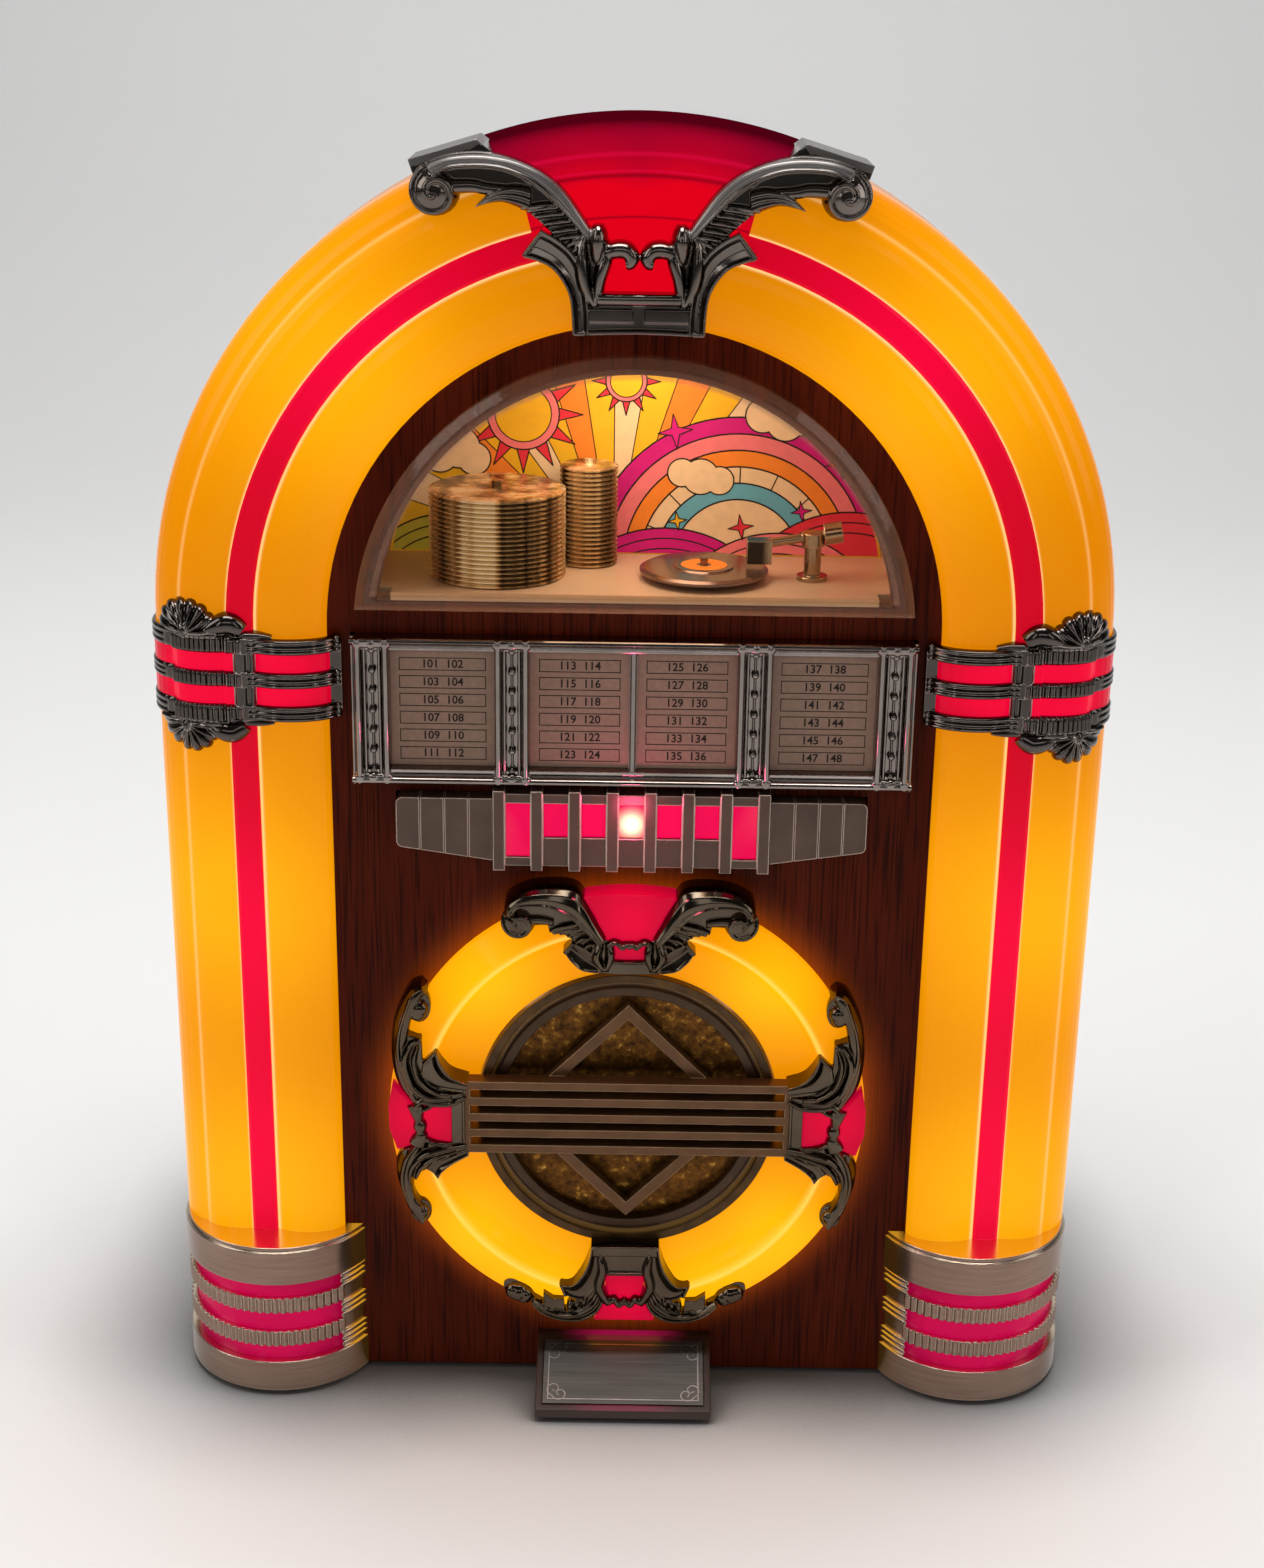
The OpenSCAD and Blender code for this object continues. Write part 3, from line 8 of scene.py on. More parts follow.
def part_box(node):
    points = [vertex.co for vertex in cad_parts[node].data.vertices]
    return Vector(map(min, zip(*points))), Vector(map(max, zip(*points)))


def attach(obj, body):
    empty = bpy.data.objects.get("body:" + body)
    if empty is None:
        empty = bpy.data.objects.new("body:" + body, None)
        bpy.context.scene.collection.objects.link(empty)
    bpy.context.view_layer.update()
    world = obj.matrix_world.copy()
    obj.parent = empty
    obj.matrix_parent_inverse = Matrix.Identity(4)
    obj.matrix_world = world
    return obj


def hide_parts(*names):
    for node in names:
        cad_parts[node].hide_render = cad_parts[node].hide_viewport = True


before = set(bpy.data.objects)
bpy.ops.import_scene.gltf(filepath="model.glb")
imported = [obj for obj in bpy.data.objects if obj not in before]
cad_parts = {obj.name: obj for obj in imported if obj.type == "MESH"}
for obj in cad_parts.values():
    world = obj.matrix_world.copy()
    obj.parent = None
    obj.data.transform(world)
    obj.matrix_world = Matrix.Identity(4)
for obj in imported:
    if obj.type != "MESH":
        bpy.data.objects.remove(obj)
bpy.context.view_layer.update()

# Studio: a pale seamless sweep of paper under large soft boxes. The camera stands a
# little above the radio's top and looks down at its front.
collection = bpy.context.scene.collection
mm = 1000
front_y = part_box("front_panel")[0].y * mm


def place(x, z, p):
    """Metres in the shared frame from millimetres across, up, and out from the wood face."""
    return Vector((x, front_y - p, z)) / mm


def add_piece(name, mesh, finish=None, smooth=True):
    piece = bpy.data.objects.new(name, mesh)
    collection.objects.link(piece)
    if finish:
        mesh.materials.append(finish)
    mesh.polygons.foreach_set("use_smooth", [smooth] * len(mesh.polygons))
    return piece


def connect(tree, node, links):
    """Links each named input of a node to a socket, or sets it to a value. Colours have no alpha."""
    for key, value in links.items():
        socket = node.inputs[key]
        if isinstance(value, bpy.types.NodeSocket):
            tree.links.new(value, socket)
        elif socket.type == "RGBA":
            socket.default_value = (*value, 1)
        else:
            socket.default_value = value


def add_node(tree, kind, links=None, **settings):
    made = tree.nodes.new("ShaderNode" + kind)
    for key, value in settings.items():
        setattr(made, key, value)
    connect(tree, made, links or {})
    return made


def ramp(tree, factor, stops):
    made = add_node(tree, "ValToRGB", {"Fac": factor})
    points = made.color_ramp.elements
    while len(points) < len(stops):
        points.new(1)
    for point, (at, colour) in zip(points, stops):
        point.position = at
        point.color = (*colour, 1)
    return made.outputs["Color"]


def blend(tree, factor, under, over, kind="MIX"):
    links = {"Factor": factor, 6: under, 7: over}
    return add_node(tree, "Mix", links, data_type="RGBA", blend_type=kind).outputs[2]


def new_finish(name, **sockets):
    finish = bpy.data.materials.new(name)
    finish.use_nodes = True
    tree = finish.node_tree
    shader = tree.nodes["Principled BSDF"]
    connect(tree, shader, {key.replace("_", " "): value for key, value in sockets.items()})
    return finish, tree, shader


def add_light(name, kind, spot, power, tint, **settings):
    light = bpy.data.lights.new(name, kind)
    light.energy = power
    light.color = tint
    for key, value in settings.items():
        setattr(light, key, value)
    lamp = bpy.data.objects.new(name, light)
    collection.objects.link(lamp)
    lamp.location = spot
    return lamp


paper, tree, shader = new_finish("studio_paper", Roughness=0.55)
spots = add_node(tree, "TexNoise", {"Scale": 3.0, "Detail": 3.0}).outputs["Fac"]
white = ramp(tree, spots, [(0.3, (0.90, 0.895, 0.89)), (0.7, (0.93, 0.925, 0.92))])
# The floor is painted darker where the radio closes in over it: a painted contact shadow, seen by the camera
# only.
open_sky = add_node(tree, "AmbientOcclusion", {"Distance": 0.05}, samples=8).outputs["AO"]
painted_floor_shade = ramp(tree, open_sky, [(0.5, (0.22, 0.21, 0.205)), (0.98, (1, 1, 1))])
seen = add_node(tree, "LightPath").outputs["Is Camera Ray"]
connect(tree, shader, {"Base Color": blend(tree, seen, white, painted_floor_shade, "MULTIPLY")})
bend_y, bend_r = 1.0, 0.8
profile = [(-2.4, 0.0)] + [(bend_y + bend_r * math.sin(a), bend_r - bend_r * math.cos(a))
                           for a in (math.radians(9 * i) for i in range(11))] + [(1.8, 3.0)]
mesh = bpy.data.meshes.new("studio_sweep")
mesh.from_pydata([(x, y, z) for y, z in profile for x in (-3.0, 3.0)], [],
                 [(2 * i, 2 * i + 1, 2 * i + 3, 2 * i + 2) for i in range(len(profile) - 1)])
add_piece("studio_sweep", mesh, paper)

for name, spot, aim, size, power, tint in (
        ("left_soft_box", (-1.15, -0.35, 0.95), (0, 0, 0.16), (0.5, 1.1), 4.5, (1.0, 0.985, 0.97)),
        ("right_soft_box", (1.25, -0.25, 0.8), (0, 0, 0.16), (0.45, 1.1), 3.2, (1.0, 0.99, 0.98)),
        ("top_soft_box", (0.0, 0.08, 1.5), (0, 0.0, 0.2), (0.9, 0.6), 14.8, (1.0, 1.0, 1.0)),
        ("front_soft_box", (0.1, -1.7, 1.15), (0, 0, 0.15), (1.2, 0.4), 1.8, (1.0, 0.99, 0.98)),
        ("left_strip", (-0.75, -1.3, 0.75), (0, 0, 0.18), (0.05, 0.9), 1.0, (1.0, 0.99, 0.98)),
        ("right_strip", (0.85, -1.2, 0.75), (0, 0, 0.18), (0.05, 0.9), 0.8, (1.0, 0.99, 0.98)),
        ("sweep_soft_box", (0.0, 0.75, 1.9), (0, 1.5, 0.5), (2.2, 0.6), 9.4, (1.0, 1.0, 1.0))):
    lamp = add_light(name, "AREA", spot, power, tint, shape="RECTANGLE", size=size[0], size_y=size[1])
    lamp.rotation_euler = (Vector(aim) - Vector(spot)).to_track_quat("-Z", "Y").to_euler()

world = bpy.data.worlds.new("studio_air")
bpy.context.scene.world = world
world.use_nodes = True
connect(world.node_tree, world.node_tree.nodes["Background"], {"Color": (0.9, 0.9, 0.91), "Strength": 0.05})
bpy.context.scene.view_settings.view_transform = "Standard"

view = bpy.data.cameras.new("photo_camera")
view.sensor_fit = "VERTICAL"
view.sensor_height = 36.0
view.lens = 53.6
view.clip_start = 0.02
view_height, view_distance = 379.93, 566.61
look_down, tilt = 19.763, 0.856
camera = bpy.data.objects.new("photo_camera", view)
collection.objects.link(camera)
camera.matrix_world = (Matrix.Translation(place(0, view_height, view_distance))
                       @ Matrix.Rotation(math.radians(90 - look_down), 4, "X")
                       @ Matrix.Rotation(math.radians(tilt), 4, "Z"))
bpy.context.scene.camera = camera

# Cabinet: an arched shell and a flat front panel of dark stained hardwood veneer with a
# rubbed lacquer. The grain stands upright, bends with the shell, and the panel is let in.
def dress(names, finish):
    for name in names:
        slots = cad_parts[name].data.materials
        slots.clear()
        slots.append(finish)


def box_mm(name):
    return [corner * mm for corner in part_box(name)]


def maths(tree, operation, *values, clamp=False):
    links = dict(enumerate(values))
    return add_node(tree, "Math", links, operation=operation, use_clamp=clamp).outputs[0]


def vectors(tree, operation, *values):
    return add_node(tree, "VectorMath", dict(enumerate(values)), operation=operation).outputs


def here(tree):
    return add_node(tree, "TexCoord").outputs["Object"]


def split(tree, vector):
    return add_node(tree, "SeparateXYZ", {0: vector}).outputs


def stretch(tree, vector, scale):
    return add_node(tree, "Mapping", {"Vector": vector, "Scale": scale}).outputs[0]


def mottle(tree, scale, detail, roughness=0.5, where=None, distortion=0.0):
    """A cloudy pattern over the piece, or over other coordinates."""
    links = {"Vector": where or here(tree), "Scale": scale, "Detail": detail, "Roughness": roughness,
             "Distortion": distortion}
    return add_node(tree, "TexNoise", links).outputs["Fac"]


def between(tree, value, low, high, first=0.0, kind="LINEAR"):
    """A share that runs from first to 1 as a value goes from low to high."""
    links = {"Value": value, "From Min": low, "From Max": high, "To Min": first}
    return add_node(tree, "MapRange", links, interpolation_type=kind).outputs[0]


def bump(tree, height, strength, distance, normal=None):
    links = {"Height": height, "Strength": strength, "Distance": distance}
    if normal:
        links["Normal"] = normal
    return add_node(tree, "Bump", links).outputs[0]


def new_group(name, inputs, outputs):
    """A shader node group with named sockets, each given as a kind and a default."""
    group = bpy.data.node_groups.new(name, "ShaderNodeTree")
    for key, (kind, value) in inputs.items():
        socket = group.interface.new_socket(key, in_out="INPUT", socket_type="NodeSocket" + kind)
        socket.default_value = value
    for key, kind in outputs.items():
        group.interface.new_socket(key, in_out="OUTPUT", socket_type="NodeSocket" + kind)
    return group, group.nodes.new("NodeGroupInput").outputs, group.nodes.new("NodeGroupOutput").inputs


def add_group(tree, group, links):
    made = tree.nodes.new("ShaderNodeGroup")
    made.node_tree = group
    connect(tree, made, links)
    return made.outputs


# Handling: the faint cloudy marks that polishing and fingers leave on a glossy face
handling, given, made = new_group(
    "handling", {"Roughness": ("Float", 0.2), "Spread": ("Float", 0.1), "Scale": ("Float", 60.0)},
    {"Roughness": "Float", "Height": "Float"})
where = here(handling)
cloud = mottle(handling, given["Scale"], 5.0, 0.6, where)
fine = maths(handling, "MULTIPLY", mottle(handling, 900.0, 2.0, where=where), 0.3)
shift = maths(handling, "MULTIPLY", maths(handling, "SUBTRACT", cloud, 0.5), given["Spread"])
handling.links.new(maths(handling, "ADD", given["Roughness"], shift, clamp=True), made["Roughness"])
handling.links.new(maths(handling, "ADD", fine, cloud), made["Height"])

# Edges: rounds every sharp edge a little and gives a mask of where the edge is
edges, given, made = new_group("edges", {"Radius": ("Float", 0.0004)}, {"Normal": "Vector", "Mask": "Float"})
round_over = add_node(edges, "Bevel", {"Radius": given["Radius"]}, samples=6).outputs[0]
flat_face = add_node(edges, "NewGeometry").outputs["Normal"]
turned = vectors(edges, "DOT_PRODUCT", round_over, flat_face)["Value"]
edges.links.new(round_over, made["Normal"])
edges.links.new(between(edges, turned, 0.995, 0.86, kind="SMOOTHSTEP"), made["Mask"])


def marked(tree, shader, roughness, spread, scale):
    """Puts marks of handling on a finish, and gives their height."""
    marks = add_group(tree, handling, {"Roughness": roughness, "Spread": spread, "Scale": scale})
    connect(tree, shader, {"Roughness": marks["Roughness"]})
    return marks["Height"]


def rounded(tree, radius):
    return add_group(tree, edges, {"Radius": radius})


dome_high = box_mm("dome_cover")[1]
dome_r = dome_high.x
arch_z = dome_high.z - dome_r
ring_low, ring_high = box_mm("ring_lens")
ring_r = (ring_high.x - ring_low.x) / 2
ring_z = (ring_high.z + ring_low.z) / 2


def arch_radius(tree):
    """Distance from the middle of the arch: across on the legs, and from the arch's centre above them."""
    parts = split(tree, here(tree))
    above = maths(tree, "MAXIMUM", maths(tree, "SUBTRACT", parts["Z"], arch_z / mm), 0.0)
    flat = add_node(tree, "CombineXYZ", {"X": parts["X"], "Y": above, "Z": 0.0}).outputs[0]
    return vectors(tree, "LENGTH", flat)["Value"]


def ring_radius(tree):
    """Distance from the middle of the speaker, seen from the front."""
    off = vectors(tree, "SUBTRACT", here(tree), (0, 0, ring_z / mm))[0]
    return vectors(tree, "LENGTH", vectors(tree, "MULTIPLY", off, (1, 0, 1))[0])["Value"]


wood, tree, shader = new_finish("stained_hardwood", Specular_IOR_Level=0.05, Coat_Weight=0.02,
                                Coat_Roughness=0.15, Emission_Strength=1.0)
where = here(tree)
parts = split(tree, where)
above = maths(tree, "MAXIMUM", maths(tree, "SUBTRACT", parts["Z"], arch_z / mm), 0.0)
turned = maths(tree, "MULTIPLY", maths(tree, "ARCTAN2", above, maths(tree, "ABSOLUTE", parts["X"])), 0.115)
along = maths(tree, "ADD", maths(tree, "MINIMUM", parts["Z"], arch_z / mm), turned)
bent = add_node(tree, "CombineXYZ", {"X": arch_radius(tree), "Y": parts["Y"], "Z": along}).outputs[0]
shell_part = maths(tree, "GREATER_THAN", arch_radius(tree), 0.09)
grain = add_node(tree, "Mix", {"Factor": shell_part, 4: where, 5: bent}, data_type="VECTOR").outputs[1]
figure = mottle(tree, 1.6, 6.0, where=stretch(tree, grain, (60.0, 60.0, 3.2)), distortion=0.5)
pores = mottle(tree, 1.0, 3.0, where=stretch(tree, grain, (1500.0, 1500.0, 42.0)))
stain = ramp(tree, figure, [(0.25, (0.066, 0.0070, 0.0013)), (0.5, (0.094, 0.0108, 0.0020)),
                            (0.75, (0.124, 0.0160, 0.0032))])
pore_mask = ramp(tree, pores, [(0.34, (0.35, 0.35, 0.35)), (0.52, (1, 1, 1))])
# The wood near the ring gets a painted orange glow in its emission, standing in for light the lit ring throws
# on it.
painted_ring_glow = maths(tree, "POWER", between(tree, ring_radius(tree), 0.076, 0.064), 2.5)
marked(tree, shader, 0.34, 0.16, 25.0)
connect(tree, shader, {"Base Color": blend(tree, 1.0, stain, pore_mask, "MULTIPLY"),
                       "Normal": bump(tree, pore_mask, 0.12, 0.0002, rounded(tree, 0.0006)["Normal"]),
                       "Emission Color": blend(tree, painted_ring_glow, (0, 0, 0), (0.22, 0.036, 0.001))})
dress(["cabinet_shell", "front_panel"], wood)

# Rear cover: a moulded board of black plastic with vents, held by six screws. A gland for
# the power cord sits low on it, and four rubber pads carry the cabinet. Two ridged knobs
# with turned caps stand on the right wall.
satin, tree, shader = new_finish("black_plastic", Specular_IOR_Level=0.42)
leather = add_node(tree, "TexVoronoi", {"Vector": here(tree), "Scale": 900.0}).outputs["Distance"]
black = ramp(tree, mottle(tree, 30.0, 4.0), [(0.3, (0.012, 0.012, 0.0125)), (0.7, (0.021, 0.020, 0.020))])
marked(tree, shader, 0.48, 0.18, 40.0)
connect(tree, shader, {"Base Color": black,
                       "Normal": bump(tree, leather, 0.16, 0.0002, rounded(tree, 0.0005)["Normal"])})
dress(["rear_cover", "cord_gland", "volume_knob", "tuning_knob", "speaker_cone"], satin)


def surface(name, grain, tones, marks=None, drift=None, edge=None, painted_edge_highlight=None, relief=None, ripple=None,
            stretched=None, glowing=False, **sockets):
    """A finish whose colour drifts between tones with a cloudy grain, of some scale and detail.

    Its roughness comes from marks of handling, or drifts with the grain between two values. Its edges
    have a radius, and can be painted lighter to a colour by a share: a painted edge highlight. Its bumps
    are a relief of the grain or a ripple of the marks, given as strength and depth.
    """
    finish, tree, shader = new_finish(name, **sockets)
    where = stretch(tree, here(tree), stretched) if stretched else None
    pattern = mottle(tree, *grain, where=where)
    links = {"Base Color": ramp(tree, pattern, tones)}
    height = marked(tree, shader, *marks) if marks else None
    if drift:
        links["Roughness"] = ramp(tree, pattern, [(0.3, [drift[0]] * 3), (0.7, [drift[1]] * 3)])
    corner = rounded(tree, edge) if edge else None
    if painted_edge_highlight:
        tone, share = painted_edge_highlight
        edge_highlight_share = maths(tree, "MULTIPLY", corner["Mask"], share)
        links["Base Color"] = blend(tree, edge_highlight_share, links["Base Color"], tone)
    normal = corner["Normal"] if corner else None
    if relief or ripple:
        normal = bump(tree, pattern if relief else height, *(relief or ripple), normal)
    if normal:
        links["Normal"] = normal
    if glowing:
        links["Emission Color"] = links["Base Color"]
    connect(tree, shader, links)
    return finish


steel = surface("plain_steel", (220.0, 5.0), [(0.3, (0.36, 0.36, 0.365)), (0.7, (0.56, 0.56, 0.565))],
                marks=(0.32, 0.2, 90.0), relief=(0.08, 0.0002), Metallic=1.0)
dress(["rear_screws", "speaker_frame", "volume_control"], steel)


def around(count):
    return [2 * math.pi * i / count for i in range(count)]


def to_mesh(name, shape, outward=True):
    if outward:
        bmesh.ops.recalc_face_normals(shape, faces=shape.faces)
    mesh = bpy.data.meshes.new(name)
    shape.to_mesh(mesh)
    shape.free()
    return mesh


cap_sides = 48
cap_profile = ((0.8, 0), (0.78, 0.28), (0.74, 0.32), (0.71, 0.14), (0.62, 0.1), (0.3, 0.06), (0.05, 0.12))
pointer_outline = ((-0.5, 0.34), (0.5, 0.34), (0.5, 0.69), (-0.5, 0.69))
for name in ("volume", "tuning"):
    low, high = box_mm(name + "_knob")
    middle = (low + high) / 2
    r = (high.z - low.z) / 2
    cap = bmesh.new()
    rows = []
    for share, out in cap_profile:
        spots = [middle + Vector((0, math.cos(a), math.sin(a))) * (r * share) for a in around(cap_sides)]
        rows.append([cap.verts.new(Vector((high.x + out, spot.y, spot.z)) / mm) for spot in spots])
    for inner, outer in zip(rows[1:], rows):
        for i in range(cap_sides):
            cap.faces.new((outer[i - 1], outer[i], inner[i], inner[i - 1]))
    cap.faces.new(rows[-1])
    pointer = [cap.verts.new(Vector((high.x + out, middle.y + y, middle.z + r * share)) / mm)
               for out in (0.05, 0.3) for y, share in pointer_outline]
    cap.faces.new(pointer[4:]).material_index = 1
    for i, j in ((0, 1), (1, 2), (2, 3), (3, 0)):
        cap.faces.new((pointer[i], pointer[j], pointer[4 + j], pointer[4 + i])).material_index = 1
    mesh = to_mesh(name + "_knob_cap", cap)
    piece = add_piece(name + "_knob_cap", mesh, steel)
    mesh.materials.append(satin)
    mesh.set_sharp_from_angle(angle=math.radians(35))
    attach(piece, name + "_knob_body")

rubber = surface("pad_rubber", (140.0, 6.0), [(0.35, (0.016, 0.016, 0.016)), (0.7, (0.035, 0.034, 0.033))],
                 drift=(0.7, 0.9), relief=(0.2, 0.0003), Specular_IOR_Level=0.25)
dress(["rubber_pads"], rubber)

# Light tubes: moulded amber lenses in two lobes, lit by small lamps on the cabinet side.
# They are clipped round the arch, with a coloured stripe pressed into the groove.
panel_r = dome_r + 7.2
stripe_in = panel_r + 18
stripe_out = stripe_in + 7
crease_r = stripe_out + 12.5
tube_r = crease_r + 7.7

# Glow: a lens lit from behind, brightest at up to three lamps on each side of the middle
lamp_names = ("Lamp A", "Lamp B", "Lamp C")
glow, given, made = new_group(
    "glow", {"Dim": ("Color", (0.5, 0.2, 0.01, 1)), "Bright": ("Color", (1, 0.6, 0.05, 1)),
             **{name: ("Vector", (0, 0, 0)) for name in lamp_names}, "Spread": ("Float", 0.03),
             "Front": ("Float", -0.05), "Depth": ("Float", 0.04), "Rear": ("Float", 0.4)},
    {"Color": "Color", "Level": "Float"})
where = here(glow)
seen = vectors(glow, "MULTIPLY", vectors(glow, "ABSOLUTE", where)[0], (1, 0, 1))[0]
level = maths(glow, "MULTIPLY", maths(glow, "SUBTRACT", mottle(glow, 14.0, 2.0, where=where), 0.5), 0.35)
for name in lamp_names:
    away = maths(glow, "DIVIDE", vectors(glow, "DISTANCE", seen, given[name])["Value"], given["Spread"])
    part = maths(glow, "EXPONENT", maths(glow, "MULTIPLY", maths(glow, "POWER", away, 2.0), -1.0))
    level = maths(glow, "ADD", level, part, clamp=name == lamp_names[-1])
lit = blend(glow, level, given["Dim"], given["Bright"])
back = maths(glow, "SUBTRACT", split(glow, where)["Y"], given["Front"])
fade = add_node(glow, "MapRange", {"Value": back, "From Min": 0.0, "From Max": given["Depth"], "To Min": 1.0,
                                   "To Max": given["Rear"]}, interpolation_type="SMOOTHSTEP").outputs[0]
glow.links.new(add_node(glow, "VectorMath", {0: lit, 3: fade}, operation="SCALE").outputs[0], made["Color"])
glow.links.new(level, made["Level"])


def line_at(tree, radius, at, width):
    """A soft thin line where a radius has a value, in millimetres."""
    off = maths(tree, "DIVIDE", maths(tree, "SUBTRACT", radius, at / mm), width / mm)
    return maths(tree, "EXPONENT", maths(tree, "MULTIPLY", maths(tree, "POWER", off, 2.0), -1.0))


def lens_finish(name, body, dim, bright, lamps, spread, front, depth, rear, strength, gloss=0.07):
    """A lit lens. Lamps stand at points across and up, and the glow fades to rear over a depth behind the
    front, which is given in metres out from the wood face."""
    finish, tree, shader = new_finish(name, Coat_Weight=0.4 * gloss, Coat_Roughness=0.05,
                                      Emission_Strength=strength, Specular_IOR_Level=gloss)
    light = add_group(tree, glow, {
        "Dim": dim, "Bright": bright, **{key: (x, 0, z) for key, (x, z) in zip(lamp_names, lamps)},
        "Spread": spread, "Front": front_y / mm - front, "Depth": depth, "Rear": rear})
    marked(tree, shader, 0.2, 0.1, 35.0)
    # The body colour is painted darker where the lamp glow is dim: painted lamp light in the base colour.
    tone = ramp(tree, light["Level"], [(0.0, [0.8 * v for v in body]), (1.0, body)])
    connect(tree, shader, {"Base Color": tone, "Emission Color": light["Color"],
                           "Normal": rounded(tree, 0.0005)["Normal"]})
    return finish, tree, shader, light["Color"]


amber, tree, shader, light = lens_finish(
    "amber_lens", (0.50, 0.145, 0.001), dim=(0.67, 0.207, 0.0004), bright=(1.02, 0.45, 0.003),
    lamps=((0.100, 0.060), (0.104, 0.143), (0.073, 0.282)), spread=0.034, front=-0.001, depth=0.034,
    rear=0.28, strength=0.86)
# Thin painted highlight lines are added to the glow along the stripe's edges and along the crease.
radius = arch_radius(tree)
painted_stripe_highlights = maths(tree, "MAXIMUM", line_at(tree, radius, stripe_in - 0.1, 0.42),
                  line_at(tree, radius, stripe_out + 0.1, 0.34))
painted_crease_highlight = maths(tree, "MULTIPLY", line_at(tree, radius, crease_r + 0.1, 0.45), 0.4)
glow_with_painted_lines = blend(tree, maths(tree, "MAXIMUM", painted_stripe_highlights, painted_crease_highlight), light, (1.1, 0.72, 0.28))
connect(tree, shader, {"Emission Color": glow_with_painted_lines})
dress(["left_tube_lens", "right_tube_lens"], amber)

stripe, *_ = lens_finish(
    "red_stripe", (0.30, 0.0006, 0.010), dim=(0.62, 0.0006, 0.014), bright=(0.95, 0.001, 0.045),
    lamps=((0.100, 0.070), (0.100, 0.135), (0.070, 0.290)), spread=0.032, front=0, depth=0.03, rear=0.4,
    strength=0.85)
dress(["tube_stripes"], stripe)

crown_red, tree, shader, light = lens_finish(
    "crown_red", (0.05, 0.0003, 0.004), dim=(0.19, 0.0012, 0.022), bright=(0.80, 0.0006, 0.010),
    lamps=((0.0, 0.312), (0.015, 0.316), (0.0, 0.300)), spread=0.017, front=0.002, depth=0.013, rear=0.08,
    strength=0.95, gloss=0.0)
# Painted shade lines and painted highlight lines are laid across the crown's glow at its steps.
radius = arch_radius(tree)
painted_shade_lines = maths(tree, "MAXIMUM", line_at(tree, radius, stripe_out + 0.8, 0.3),
               line_at(tree, radius, crease_r - 2.2, 0.5))
glow_with_painted_lines = blend(tree, maths(tree, "MULTIPLY", painted_shade_lines, 0.6), light, (0.12, 0.0006, 0.008))
# These bright lines are painted highlights.
bright = maths(tree, "MAXIMUM", line_at(tree, radius, crease_r - 1.2, 0.3),
               line_at(tree, radius, crease_r + 2.6, 0.5))
glow_with_painted_lines = blend(tree, maths(tree, "MULTIPLY", bright, 0.5), glow_with_painted_lines, (0.8, 0.004, 0.06))
connect(tree, shader, {"Emission Color": glow_with_painted_lines})
dress(["crown_lens"], crown_red)

# Feet: two castings with a round front, plated in warm polished nickel. Ribs cross the
# post by the panel, and two fluted bands cover a magenta lens.
nickel, tree, shader = new_finish("warm_nickel", Metallic=1.0, Emission_Strength=1.0)
where = here(tree)
brushed = mottle(tree, 1.0, 4.0, where=stretch(tree, where, (60.0, 60.0, 1400.0)))
corner = rounded(tree, 0.0007)
plain = ramp(tree, brushed, [(0.3, (0.24, 0.162, 0.122)), (0.7, (0.30, 0.21, 0.163))])
# Edges are painted lighter as a highlight, faces turned upward get a painted top highlight, and the ribs of
# the post get a painted amber reflection of the tube in their emission.
painted_edge_highlight = blend(tree, corner["Mask"], plain, (0.58, 0.47, 0.39))
upward = split(tree, add_node(tree, "NewGeometry").outputs["Normal"])["Z"]
painted_top_highlight = blend(tree, between(tree, upward, 0.3, 0.8), painted_edge_highlight, (0.86, 0.72, 0.56))
inward = maths(tree, "ABSOLUTE", split(tree, where)["X"])
post = between(tree, inward, 0.0775, 0.0750)
painted_amber_reflection = maths(tree, "MULTIPLY", post, between(tree, upward, 0.05, 0.7, first=0.05))
marked(tree, shader, 0.2, 0.1, 50.0)
connect(tree, shader, {"Base Color": painted_top_highlight, "Normal": bump(tree, brushed, 0.015, 0.0002, corner["Normal"]),
                       "Emission Color": blend(tree, painted_amber_reflection, (0, 0, 0), (0.50, 0.235, 0.012))})
dress(["left_foot", "right_foot"], nickel)

foot_red, *_ = lens_finish(
    "foot_magenta", (0.22, 0.001, 0.03), dim=(0.26, 0.0008, 0.030), bright=(0.60, 0.002, 0.07),
    lamps=((0.090, 0.022), (0.110, 0.028), (0.100, 0.02)), spread=0.012, front=0.012, depth=0.05, rear=0.5,
    strength=0.75)
dress(["foot_lenses"], foot_red)

# Clamps: three die-cast bands over each tube, dark plated and polished. Each is ridged by
# the panel and fluted outside, with a scallop shell above and below and a red lens between.
def dark_plating(name, dull, clean, edge, roughness):
    """Dark chrome between two tones, painted lighter along its edges to an edge colour: a painted edge
    highlight.
    """
    return surface(name, (70.0, 5.0), [(0.3, dull), (0.7, clean)], marks=(roughness, 0.1, 60.0),
                   edge=0.00035, painted_edge_highlight=(edge, 0.7), ripple=(0.03, 0.0003), Metallic=1.0)


gunmetal = dark_plating("dark_chrome", (0.080, 0.067, 0.060), (0.116, 0.099, 0.090), (0.62, 0.55, 0.50), 0.14)


def swell(value, t):
    """A size at t along a piece: plain, or a curve through its start, middle and end."""
    if not isinstance(value, tuple):
        return value
    first, middle, last = value
    return first * (1 - t) * (1 - 2 * t) + middle * 4 * t * (1 - t) + last * t * (2 * t - 1)


def through(points, count):
    """A smooth curve through points, with count steps between each two."""
    points = [Vector(point) for point in points]
    curve = []
    for i in range(len(points) - 1):
        a, b, c, d = (points[min(max(k, 0), len(points) - 1)] for k in (i - 1, i, i + 1, i + 2))
        for k in range(count):
            t = k / count
            curve.append(b + (c - a) * (t / 2) + (a * 2 - b * 5 + c * 4 - d) * (t * t / 2)
                         + (b * 3 - a - c * 3 + d) * (t ** 3 / 2))
    return curve + [points[-1]]


